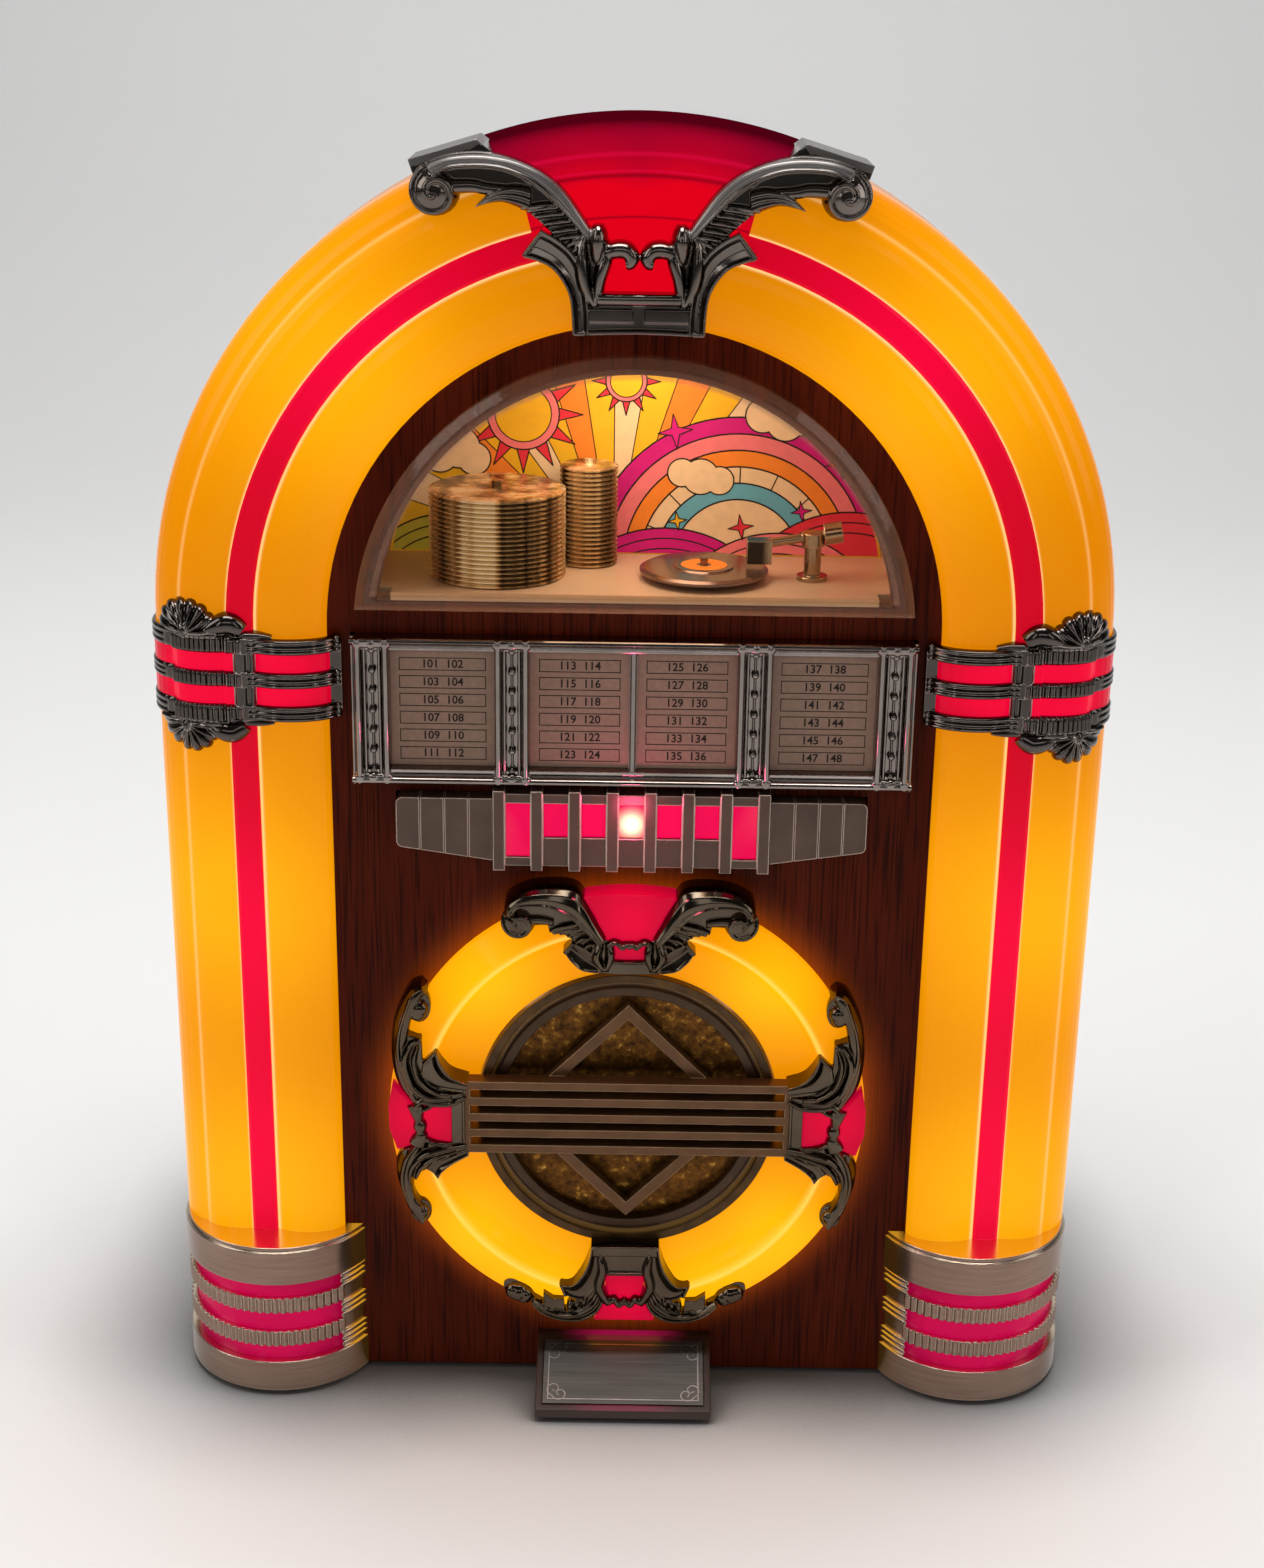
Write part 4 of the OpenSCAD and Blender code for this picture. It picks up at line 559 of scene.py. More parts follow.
def loft(metal, loops):
    """Joins closed loops of points into one closed skin."""
    rows = [[metal.verts.new(place(*point)) for point in loop] for loop in loops]
    count = len(rows[0])
    for low, high in zip(rows, rows[1:]):
        for j in range(count):
            k = (j + 1) % count
            metal.faces.new((low[j], low[k], high[k], high[j]))
    metal.faces.new(list(reversed(rows[0])))
    metal.faces.new(rows[-1])


def direction(path, i):
    return (path[min(i + 1, len(path) - 1)] - path[max(i - 1, 0)]).normalized()


half_round = [math.pi * j / 10 for j in range(11)]


def rib(metal, path, half, height, base, back):
    """A raised rib with a half-round section along a path of points across and up."""
    loops = []
    for i, point in enumerate(path):
        t = i / (len(path) - 1)
        along = direction(path, i)
        across = Vector((-along.y, along.x)) * swell(half, t)
        low, high = swell(base, t), swell(height, t)
        loop = [(*(point + across * math.cos(a)), low + high * math.sin(a)) for a in half_round]
        loops.append(loop + [(*(point + across * side), back) for side in (-1, 1)])
    loft(metal, loops)


def ribbon(metal, left, right, face, back):
    """A strip between two edges. Its face is given as shares of the way across and how far out."""
    loops = []
    for a, b in zip(left, right):
        raised = [(*a.lerp(b, share), p) for share, p in face]
        loops.append([(*a, back)] + raised + [(*b, back)])
    loft(metal, loops)


def cord(metal, path, radius):
    """A round rod of changing radius along a path of points across, up and out."""
    loops = []
    for i, point in enumerate(path):
        along = direction(path, i)
        across = along.cross(Vector((0, 0, 1))).normalized()
        out = across.cross(along)
        r = swell(radius, i / (len(path) - 1))
        loops.append([point + across * (r * math.cos(a)) + out * (r * math.sin(a)) for a in around(10)])
    loft(metal, loops)


def slab(metal, outline, p0, p1):
    loft(metal, [[(x, z, p) for x, z in outline] for p in (p0, p1)])


def ball(metal, x, z, p, r, squash=1.0):
    loops = []
    for a in (math.pi * i / 12 for i in range(1, 12)):
        across = r * math.sin(a)
        loops.append([(x + across * math.cos(b), z + across * math.sin(b), p - r * squash * math.cos(a))
                      for b in around(20)])
    loft(metal, loops)


def mirrored_mesh(name, metal):
    """The mesh of a casting from one half of it."""
    copy = bmesh.ops.duplicate(metal, geom=metal.verts[:] + metal.edges[:] + metal.faces[:])["geom"]
    bmesh.ops.scale(metal, vec=(-1, 1, 1), verts=[g for g in copy if isinstance(g, bmesh.types.BMVert)])
    return to_mesh(name, metal)


lobe_a, lobe_h = 10.067, 5.2
stripe_p = 3.9
outer_x, outer_p, outer_a, outer_b = stripe_out + 3.01, -0.99, 9.74, 4.41
side_p, side_a, side_b = -12, 10.316, 12.03


def tube_face(r):
    """How far out the outer lobe and the rounded side of a tube are at a radius."""
    if r < crease_r:
        return outer_p + outer_b * math.sqrt(max(0, 1 - ((r - outer_x) / outer_a) ** 2))
    return side_p + side_b * math.sqrt(max(0, 1 - ((r - tube_r + side_a) / side_a) ** 2))


# Shares of the way round a tube at which its inner lobe, stripe, outer lobe and side end
lobe_end, stripe_end, outer_end, side_end = 0.4, 0.52, 0.82, 0.94
outer_last, side_first = math.radians(30), math.radians(66)
side_thin = 0.45
side_depth = 14


def wrap_point(s, d):
    """A point across and out, a share s of the way round a tube and d off its face."""
    if s < lobe_end:
        last = math.acos((stripe_in - 0.2 - panel_r - lobe_a) / (lobe_a + d))
        a = math.pi + (last - math.pi) * s / lobe_end
        return panel_r + lobe_a + (lobe_a + d) * math.cos(a), (lobe_h + d) * math.sin(a)
    if s < stripe_end:
        t = (s - lobe_end) / (stripe_end - lobe_end)
        return stripe_in + (stripe_out - stripe_in) * t, stripe_p + d
    if s < outer_end:
        first = math.acos((stripe_out + 0.2 - outer_x) / (outer_a + d))
        a = first + (outer_last - first) * (s - stripe_end) / (outer_end - stripe_end)
        return outer_x + (outer_a + d) * math.cos(a), outer_p + (outer_b + d) * math.sin(a)
    d *= side_thin
    if s < side_end:
        a = side_first * (side_end - s) / (side_end - outer_end)
        return tube_r - side_a + (side_a + d) * math.cos(a), side_p + (side_b + d) * math.sin(a)
    return tube_r + d, side_p - side_depth * (s - side_end) / (1 - side_end)


clamp_low, clamp_high = (corner.z for corner in box_mm("right_clamp"))
band = 4
pitch = (clamp_high - clamp_low - band) / 2
flutes, flute_from, flute_to = 15, 0.455, 0.845
metal = bmesh.new()
for row in range(3):
    row_z = clamp_low + row * pitch
    loops = []
    for i in range(361):
        s = i / 360
        fluted = flute_from < s < flute_to
        low = row_z - (1.0 if row == 0 and s > 0.5 else 0)
        high = row_z + band + (0.8 if row == 2 and s > 0.5 else 0)
        flute = math.sqrt(abs(math.sin(flutes * math.pi * (s - flute_from) / (flute_to - flute_from))))
        loop = []
        for j in range(17):
            v = j / 16
            ridged = abs(math.sin(3 * math.pi * v)) ** 0.7
            relief = 1.25 * flute if fluted else 0.75 if 0.43 < s < flute_from else 0.9 * ridged
            held = min(1.0, 7 * v, 7 * (1 - v)) if fluted else 1.0
            x, p = wrap_point(s, 2.2 + relief * held)
            loop.append((x, low + (high - low) * v, p))
        x, p = wrap_point(s, 1.0)
        loops.append(loop + [(x, high, p), (x, low, p)])
    loft(metal, loops)
    for j in range(3):
        ball(metal, panel_r - 2.4, row_z + 0.7 + 1.3 * j, 1.9, 0.85)


def block(x0, x1, z0, z1):
    return [(x0, z0), (x1, z0), (x1, z1), (x0, z1)]


slab(metal, block(94.9, 100.6, clamp_low + 1, clamp_high - 1), stripe_p + 0.6, stripe_p + 1.6)
for x, half in ((98.8, 1.5), (95.7, 0.6)):
    strap = [Vector((x, clamp_low + 1)), Vector((x, clamp_high - 1))]
    rib(metal, strap, half, 1.2, stripe_p + 1.6, stripe_p + 1)
slab(metal, block(panel_r - 3.4, panel_r - 0.3, clamp_low + 2, clamp_high - 2), 0.1, 2.1)
hub = crease_r - 2.3
for up, root_z in ((1, clamp_high + 0.8), (-1, clamp_low - 1)):
    loops = []
    for i in range(121):
        turn = math.radians(-6 + 192 * i / 120)
        lobe = abs(math.sin(8 * math.pi * i / 120)) ** 0.7
        face, seat = [], []
        for k in range(13):
            t = k / 12
            r = (7.5 + 0.8 * lobe) * t
            x = hub + r * math.cos(turn)
            z = root_z + up * (0.3 + r * math.sin(turn))
            floor = tube_face(min(x, tube_r - 0.3))
            dome = math.sqrt(max(0.0, 1 - t ** 3)) * (1 - 0.46 * (1 - lobe) * min(1.0, 2 * t))
            face.append((x, z, floor + 0.5 + 3.7 * dome))
            seat.append((x, z, floor - 1.2))
        loops.append(face + seat[::-1])
    loft(metal, loops)
    ball(metal, hub, root_z + up * 0.8, tube_face(hub) + 2.6, 1.9, 0.9)
    seat = [(x, root_z + up * z) for x, z in ((97.4, -2.2), (106, -2.2), (106, 1.4), (98.4, 0.8))]
    slab(metal, seat, 2.6, stripe_p + 1.5)
    ledge = [Vector((x, root_z - up * 0.1, tube_face(min(x, tube_r - 0.4)) + 2.7))
             for x in (104.4 + 0.75 * k for k in range(22))]
    cord(metal, ledge, (0.7, 0.85, 0.6))
    leaf = [(x, root_z + up * z) for x, z in ((107.8, 0.6), (104.6, 2.0), (101.2, 2.6), (98.1, 0.6))]
    rib(metal, through(leaf, 8), (0.9, 2.7, 1.9), (1.6, 3.0, 1.8), 4.6, 2.6)
    tail = [(x, root_z - up * z) for x, z in ((97.8, 0.4), (94, 0.2), (90.6, 0.4))]
    rib(metal, through(tail, 6), (1.0, 0.8, 0.4), 1.2, stripe_p + 1.6, 3)
mesh = mirrored_mesh("clamp_castings", metal)
piece = add_piece("clamp_castings", mesh, gunmetal)
mesh.set_sharp_from_angle(angle=math.radians(38))
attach(piece, "cabinet")
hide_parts("left_clamp", "right_clamp", "clamp_shells")

clamp_red, *_ = lens_finish(
    "clamp_red", (0.25, 0.0006, 0.010), dim=(0.50, 0.0006, 0.016), bright=(0.95, 0.001, 0.04),
    lamps=((0.088, 0.205), (0.105, 0.205), (0.110, 0.205)), spread=0.012, front=0.004, depth=0.03, rear=0.3,
    strength=0.85)
dress(["clamp_lenses"], clamp_red)

# Crown ornament: one die casting, dark plated and polished, screwed on from behind. Two
# wings roll up in a ball at the end of a smooth band, over a leaf of stacked barbs. They
# stand on a plinth with pillars, flared horns and a bow.
def top(x, z):
    return Vector((x, arch_z + tube_r - 0.7 + z))


def spots_at(at, *points):
    return [at(*point) for point in points]


def edge_line(*points, count=8, at=top):
    return through(spots_at(at, *points), count)


def oval(centre, half_x, half_z, lift=0, lean=0):
    """A round outline that can lie off its centre or lean down to one side."""
    return [centre + Vector((half_x * math.cos(a), half_z * math.sin(a) + lift - lean * math.cos(a)))
            for a in around(24)]


def coil(eye, reach, sweep, steps, p, floor, dome):
    """A path that rolls up on the face of a ball."""
    path = []
    for i in range(steps + 1):
        t = i / steps
        r, turn = reach * (1 - t) ** 0.75 + 0.5, math.radians(80 + sweep * t)
        spot = eye + Vector((math.cos(turn), math.sin(turn))) * r
        path.append(Vector((spot.x, spot.y, p + 0.95 * math.sqrt(max(floor, dome - r * r)))))
    return path


def barb(metal, tip, root, rise, half, height, base):
    """A rib from a tip to a root that bows a little on the way."""
    rib(metal, through([tip, tip.lerp(root, 0.5) + Vector(rise), root], 6), half, height, base, 0)


def end_rib(metal, first, last, steps, half, height, base):
    """A straight rib across the end of a flare."""
    rib(metal, [first.lerp(last, t / steps) for t in range(steps + 1)], half, height, base, 0)


casting_voxel = 0.18


def cast(name, metal, finish, keep=0.4):
    """Mirrors the parts of a casting, fuses them into one skin, softens it and thins its mesh."""
    rough = bpy.data.objects.new(name, mirrored_mesh(name, metal))
    collection.objects.link(rough)
    skin = rough.modifiers.new("skin", "REMESH")
    skin.mode = "VOXEL"
    skin.voxel_size = casting_voxel / mm
    soften = rough.modifiers.new("soften", "SMOOTH")
    soften.factor, soften.iterations = 0.5, 3
    thin = rough.modifiers.new("thin", "DECIMATE")
    thin.ratio = keep
    done = bpy.data.meshes.new_from_object(rough.evaluated_get(bpy.context.evaluated_depsgraph_get()))
    bpy.data.objects.remove(rough)
    done.name = name
    done.materials.clear()
    return add_piece(name, done, finish)


crown_p = 6.6
crown_back = -8
metal = bmesh.new()
outside = edge_line((-50, -7), (-44.7, -5.1), (-37.9, -4.5), (-31.1, -5.3), (-25.9, -7), (-21.3, -9.5),
                    (-17.5, -12.8), (-13.7, -17.9), (-10.4, -22.9))
inside = edge_line((-48.5, -9.4), (-44.7, -7.6), (-39.4, -7.1), (-33.4, -7.4), (-28.1, -9), (-23.5, -11.7),
                   (-19.8, -15), (-16, -19), (-12.1, -23.2))
ribbon(metal, outside, inside, [(0, 5.6), (0.05, 7.6), (0.2, 8.8), (0.5, 9.4), (0.8, 9.2), (1, 8.4)],
       crown_back)
rib(metal, inside, (0.45, 0.55, 0.45), (1.6, 1.5, 1.2), 8.4, 2)
eye = top(-48.2, -13.4)
ball(metal, eye.x, eye.y, 3.8, 5.9, 0.95)
slab(metal, oval(eye, 5, 5), crown_back, 4)
cord(metal, coil(eye, 5.5, 560, 48, 4.1, 3.0, 34.8), (0.8, 0.85, 0.55))
slab(metal, spots_at(top, (-54.6, -6.3), (-38.6, -1.5), (-34.8, -4.4), (-53.5, -9.6)), -15, 5.2)
under_band = edge_line((-28, -13.2), (-33.5, -14.4), (-38.5, -13.6), (-44.4, -14), count=3)
slab(metal, inside[4:44] + under_band, crown_back, 6.4)
roll = spots_at(top, (-44.4, -12.2), (-39.5, -12), (-36, -12.6), (-31.6, -12.8))
cord(metal, through([(v.x, v.y, 6.9) for v in roll], 6), (1.6, 1.45, 1.2))
low_edge = edge_line((-38.8, -16.8), (-35.8, -16), (-32.4, -15.6), (-28.9, -16.7), (-25.9, -18.1),
                     (-22.8, -20.7), (-19.8, -23.6), (-17.1, -26.6), (-15.2, -28))
leaf_top = edge_line((-38.6, -16.4), (-36.1, -14), (-33.3, -12.4), (-29.6, -11.4), (-25.6, -12))
slab(metal, leaf_top[::4] + inside[32::4] + low_edge[::-4], 0, crown_p)
ribbon(metal, leaf_top, low_edge[:33],
       [(0, 6.2), (0.12, 8.0), (0.26, 8.5), (0.36, 7.7), (0.5, 8.6), (0.62, 7.7), (0.78, 8.4), (0.92, 7.6),
        (1, 6.2)], 0)
for i in range(9):
    tip = low_edge[26 + int(38 * i / 8)]
    root = min(inside, key=lambda v: abs(v.y - tip.y - 1.2)) + Vector((-0.6, 0))
    barb(metal, tip, root, (0, 0.25), (0.35, 0.74, 0.6), (1.0, 2.0, 1.3), crown_p - 0.2)
slab(metal, spots_at(top, (-13.4, -22), (-8, -21.6), (-7, -30), (-9.2, -39.8), (-11.6, -39.8), (-14.6, -30)),
     0, crown_p - 0.2)
for path in (((-12.9, -22.4), (-13.7, -27.5), (-12.9, -34.3), (-10.6, -39.6)),
             ((-9.2, -22), (-8, -27.4), (-9.3, -32.8), (-10.3, -39.4))):
    rib(metal, edge_line(*path), (0.7, 1.8, 0.5), (1.4, 3.2, 1.0), crown_p - 0.2, 0)
pillar = edge_line((-9.9, -20.2), (-9.8, -24), (-10.2, -29.6))
rib(metal, pillar, (0.9, 2.3, 0.5), (2.0, 4.6, 1.6), crown_p, 0)
flare = edge_line((-22.9, -21.9), (-19, -24.1), (-15.2, -27.8), (-13.2, -33), (-12, -40.6), (-12, -46))
flare_low = edge_line((-27.4, -27.7), (-24.4, -28.4), (-20.6, -30.2), (-17.5, -34), (-15.9, -38.5),
                      (-15.4, -46.2))
ribbon(metal, flare, flare_low, [(0, 8.6), (0.1, 8.4), (0.3, 7.2), (0.6, 6.6), (0.88, 7.2), (1, 7.6)], 0)
rib(metal, flare_low, (0.5, 0.5, 0.4), (1.2, 1.0, 0.6), 7.2, 0)
end_rib(metal, flare[0], flare_low[0], 8, 0.5, 1.0, 7.4)
bow = edge_line((-9.4, -27.6), (-7.2, -26.6), (-5, -26.1), (-3.1, -26.4), (-2, -27.7), (-2.3, -29.1),
                (-3.3, -29.4))
rib(metal, bow, (1.7, 2.1, 1.3), (2.4, 3.0, 2.2), crown_p + 0.2, 0)
slab(metal, spots_at(top, (-15.4, -46.4), (-8, -46), (0.2, -45.8), (0.2, -37.4), (-12, -37.4)), 0, crown_p)
rib(metal, edge_line((-9.9, -37.6), (-4, -37.6), (0.2, -37.6)), 1.4, 1.4, crown_p + 1, 0)
slab(metal, spots_at(top, (-11.9, -39.9), (-1.5, -39.9), (-1.5, -43.1), (-11.9, -43.1)), 0, crown_p + 1.3)
rib(metal, edge_line((-15.3, -46), (-8, -45.6), (0.2, -45.4)), 0.7, 1.2, crown_p - 0.2, 0)
# A lighter copy of the dark chrome for the crown scrolls: painted light, so they read brighter than the
# clamps.
scroll_chrome_painted_light = dark_plating("scroll_chrome_painted_light", (0.138, 0.115, 0.100), (0.190, 0.162, 0.143),
                             (0.68, 0.60, 0.53), 0.16)
piece = cast("crown_scrolls", metal, scroll_chrome_painted_light, keep=0.35)
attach(piece, "cabinet")
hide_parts("crown_ornament")

# The broad faces of the bands and the blocks behind them are left satin
brushed_dark = surface("satin_dark_chrome", (90.0, 5.0),
                       [(0.3, (0.22, 0.20, 0.188)), (0.7, (0.285, 0.26, 0.246))],
                       marks=(0.36, 0.12, 60.0), edge=0.00035, Metallic=1.0)
piece.data.materials.append(brushed_dark)
band_middle = [a.lerp(b, 0.42) for a, b in zip(outside, inside)][2:62]
for face in piece.data.polygons:
    spot = Vector((-abs(face.center.x), face.center.z)) * mm
    on_block = spot.x < -37 and spot.y > top(0, -4.9).y + 0.302 * (spot.x + 40) + 1.2
    if on_block or (face.normal.y < -0.25 and min((spot - v).length_squared for v in band_middle) < 1.7):
        face.material_index = 1

# Record dome: a pale pink stage moulded in one piece behind a clear cover. It holds a
# printed card, two stacks of records, a turntable and a tonearm, all fixed.
stage_pink = surface("stage_pink", (26.0, 3.0), [(0.3, (0.70, 0.47, 0.31)), (0.7, (0.78, 0.55, 0.38))],
                     marks=(0.3, 0.12, 45.0), ripple=(0.05, 0.0002), Subsurface_Weight=0.1)
dress(["dome_housing"], stage_pink)


def print_finish(name, colour):
    """Matt ink on card, with the slight mottle of a screen print and a faint painted glow in its emission."""
    return surface(name, (400.0, 3.0), [(0.3, [0.9 * v for v in colour]), (0.7, colour)], drift=(0.5, 0.62),
                   glowing=True, Specular_IOR_Level=0.2, Emission_Strength=0.16)


inks = {name: print_finish("ink_" + name, colour) for name, colour in (
    ("yellow", (0.80, 0.47, 0.02)), ("cream", (0.80, 0.60, 0.36)), ("orange", (0.84, 0.25, 0.03)),
    ("pink", (0.80, 0.20, 0.22)), ("red", (0.70, 0.035, 0.06)), ("magenta", (0.58, 0.012, 0.22)),
    ("blue", (0.13, 0.42, 0.55)), ("lime", (0.52, 0.48, 0.05)), ("black", (0.022, 0.015, 0.012)))}
dress(["backdrop_card"], inks["yellow"])
card_low, card_high = box_mm("backdrop_card")
edge_r = card_high.z - arch_z - 0.4
first_turn = math.asin((card_low.z + 0.4 - arch_z) / edge_r)
card_edge = [Vector((edge_r * math.cos(a), arch_z + edge_r * math.sin(a)))
             for a in (first_turn + (math.pi - 2 * first_turn) * i / 48 for i in range(49))]
stage_z = arch_z + 9.9
sheet = bmesh.new()


def clipped(outline, edge):
    """The part of an outline that lies inside a convex edge."""
    for a, b in zip(edge, edge[1:] + edge[:1]):
        sides = [(b - a).cross(v - a) for v in outline]
        kept = []
        for i, v in enumerate(outline):
            if (sides[i - 1] >= 0) != (sides[i] >= 0):
                kept.append(outline[i - 1].lerp(v, sides[i - 1] / (sides[i - 1] - sides[i])))
            if sides[i] >= 0:
                kept.append(v)
        outline = kept
    return outline


def ink(colour, outline):
    """A flat area of ink on the card, a hair above whatever was printed before it."""
    outline = clipped(outline, card_edge)
    if len(outline) > 2:
        lift = front_y - card_low.y + 0.03 + 0.0006 * len(sheet.faces)
        face = sheet.faces.new([sheet.verts.new(place(v.x, v.y, lift)) for v in outline])
        face.material_index = list(inks).index(colour)


def strips_of(points, width):
    """The flat strips of a drawn line, one for each step between its points."""
    strips = []
    for a, b in zip(points, points[1:]):
        along = (b - a).normalized() * (width / 2)
        across = Vector((-along.y, along.x))
        strips.append([a - along - across, b + along - across, b + along + across, a - along + across])
    return strips


def draw(points, width=0.4):
    for strip in strips_of(points, width):
        ink("black", strip)


def at_angle(x, z, r, degrees):
    a = math.radians(degrees)
    return Vector((x + r * math.cos(a), stage_z + z + r * math.sin(a)))


def arc(x, z, r, first=0, last=360, count=28):
    return [at_angle(x, z, r, first + (last - first) * i / count) for i in range(count + 1)]


def patch(colour, outline, width):
    ink(colour, outline)
    draw(outline, width)


for i in range(20):
    ink(("yellow", "cream", "yellow", "orange")[i % 4],
        arc(-6, -4, 0.1, 9 * i, 9 * i + 9, 1) + arc(-6, -4, 90, 9 * i + 9, 9 * i, 1))
    draw([at_angle(-6, -4, r, 9 * i) for r in (4, 90)], 0.3)
for x, z, r in ((-30, 37, 9.5), (-3, 46, 5.4)):
    for i in range(12):
        patch("red", [at_angle(x, z, r * reach, 30 * i + turn)
                      for reach, turn in ((0.9, -13), (1.65, 0), (0.9, 13))], 0.35)
    ink("pink", arc(x, z, r))
    ink("yellow", arc(x, z, r * 0.78))
    draw(arc(x, z, r))
    draw(arc(x, z, r * 0.78), 0.3)
for r, colour in ((39, "magenta"), (34.6, "pink"), (30.2, "orange"), (25.8, "cream"), (21.4, "blue"),
                  (17, "cream")):
    patch(colour, arc(27, -2, r, 0, 180, 40), 0.45)
for i in range(7):
    draw([at_angle(27, -2, r, 20 + 23 * i) for r in (21.4, 25.8)], 0.35)
for puffs in (((38, 41, 5), (44, 38, 5.6), (33, 37.5, 4.4), (39, 36, 5)),
              ((12, 22, 3.6), (17, 21, 4.6), (22, 20, 3.6)),
              ((-52, 26, 4.6), (-47, 28, 5.4), (-43, 25, 4.2))):
    for x, z, r in puffs:
        ink("black", arc(x, z, r + 0.4))
    for x, z, r in puffs:
        ink("cream", arc(x, z, r))
for x, z, r, colour in ((-50, -16, 26, "lime"), (57, -20, 32, "red"), (8, -26, 33, "magenta"),
                        (38, -24, 30, "pink"), (-24, -21, 26, "blue")):
    for shade, step in ((colour, 0), ("black", 2.6), (colour, 3), ("black", 5.4), (colour, 5.8)):
        ink(shade, arc(x, z, r - step, 10, 170, 36))
    draw(arc(x, z, r, 10, 170, 36), 0.45)
for x, z, r, colour in ((10, 33, 4.6, "magenta"), (54, 25, 4, "red"), (28, 47, 4, "blue"),
                        (-17, 50, 3.6, "red"), (-44, 40, 3.4, "magenta"), (28, 7.5, 3.4, "red"),
                        (44, 12, 2.8, "magenta"), (11, 9, 2.6, "yellow")):
    star = [at_angle(x, z, r * (1, 0.3)[i % 2], 45 * i + 8) for i in range(8)]
    ink(colour, star)
    draw(star + star[:1], 0.3)
mesh = to_mesh("backdrop_print", sheet, outward=False)
piece = add_piece("backdrop_print", mesh, smooth=False)
for finish in inks.values():
    mesh.materials.append(finish)
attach(piece, "cabinet")

gold = surface("record_gold", (1.0, 3.0), [(0.30, (0.06, 0.035, 0.014)), (0.42, (0.30, 0.20, 0.09)),
                                           (0.52, (0.75, 0.53, 0.26)), (0.64, (1.0, 0.89, 0.64))],
               stretched=(190.0, 190.0, 2.0), marks=(0.26, 0.14, 70.0), ripple=(0.06, 0.0002), Metallic=0.6)
dress(["record_stacks"], gold)

silver = surface("silver_moulding", (120.0, 4.0), [(0.3, (0.23, 0.155, 0.125)), (0.7, (0.34, 0.235, 0.19))],
                 marks=(0.2, 0.12, 70.0), edge=0.0003, Metallic=0.8)
dress(["turntable", "tuning_capacitor"], silver)

arm, tree, shader = new_finish("arm_metal", Metallic=0.9)
beyond = between(tree, split(tree, here(tree))["X"], 0.0325, 0.0345)
corner = rounded(tree, 0.0004)
plain = ramp(tree, beyond, [(0.0, (0.035, 0.024, 0.016)), (1.0, (0.42, 0.30, 0.19))])
marked(tree, shader, 0.16, 0.1, 70.0)
# Edges are painted lighter towards a pale gold: a painted edge highlight.
connect(tree, shader, {"Base Color": blend(tree, corner["Mask"], plain, (0.95, 0.80, 0.58)),
                       "Normal": corner["Normal"]})
dress(["tonearm"], arm)

# A paper label glued on the record that lies on the turntable
label_x, label_p, label_r = 17.7, -19, 6.0
label_sides = 36
near = [v.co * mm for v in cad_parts["turntable"].data.vertices]
record_z = max(v.z for v in near
               if label_r < math.hypot(v.x - label_x, front_y - v.y - label_p) < 2.9 * label_r)
labels = bmesh.new()
inner, outer = ([labels.verts.new(place(label_x + r * math.cos(a), record_z + 0.06,
                                        label_p + r * math.sin(a)))
                 for a in around(label_sides)] for r in (0.32 * label_r, label_r))
for j in range(label_sides):
    labels.faces.new((inner[j], outer[j], outer[j - 1], inner[j - 1]))
piece = add_piece("record_labels", to_mesh("record_labels", labels), inks["orange"])
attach(piece, "cabinet")

clear, tree, shader = new_finish("clear_cover", Base_Color=(0.48, 0.255, 0.16), Specular_IOR_Level=0.8)
marked(tree, shader, 0.05, 0.04, 30.0)
connect(tree, shader, {"Normal": rounded(tree, 0.0006)["Normal"]})
passing = add_node(tree, "BsdfTransparent", {"Color": (1.0, 0.94, 0.88)})
# Grazing edges, the lip and the sill mix in an opaque pinkish-brown: a painted stand-in for the wood seen
# through and reflected in the thick plastic.
edge_on = maths(tree, "MULTIPLY", add_node(tree, "LayerWeight", {"Blend": 0.22}).outputs["Fresnel"], 0.32)
lip = between(tree, arch_radius(tree), 0.0645, 0.0655)
sill = between(tree, split(tree, here(tree))["Z"], stage_z / mm, stage_z / mm - 0.001)
lip_painted_tint = maths(tree, "MULTIPLY", maths(tree, "MAXIMUM", lip, sill), 0.27)
ray = add_node(tree, "LightPath").outputs
shadow = maths(tree, "MAXIMUM", ray["Is Shadow Ray"], ray["Is Diffuse Ray"])
shown = maths(tree, "MULTIPLY", maths(tree, "MAXIMUM", edge_on, lip_painted_tint), maths(tree, "SUBTRACT", 1.0, shadow))
chosen = add_node(tree, "MixShader", {0: shown, 1: passing.outputs[0], 2: shader.outputs[0]})
connect(tree, tree.nodes["Material Output"], {"Surface": chosen.outputs[0]})
dress(["dome_cover"], clear)

lamp = add_light("dome_lamp", "AREA", place(0, arch_z + dome_r - 10, -14), 0.031, (1.0, 0.84, 0.66),
                 size=0.05)
lamp.rotation_euler = (math.radians(12), 0, 0)

# Title frame: a plated moulding with round rods and a chain of beads down each column.
# Grey cards behind it carry outlined strips, each with two plain numbers.
chrome = surface("bright_chrome", (60.0, 4.0), [(0.3, (0.225, 0.190, 0.170)), (0.7, (0.345, 0.300, 0.275))],
                 marks=(0.08, 0.08, 70.0), edge=0.0003, ripple=(0.03, 0.0003), Metallic=1.0)
title_low, title_high = box_mm("title_frame")
title_half, title_mid = title_high.x, (title_low.z + title_high.z) / 2
title_rise = title_high.z - title_mid


def upright(x, shy):
    """A line up the frame that stops shy of its two edges."""
    return [Vector((x, title_mid + share * (title_rise - shy))) for share in (-1, 0, 1)]


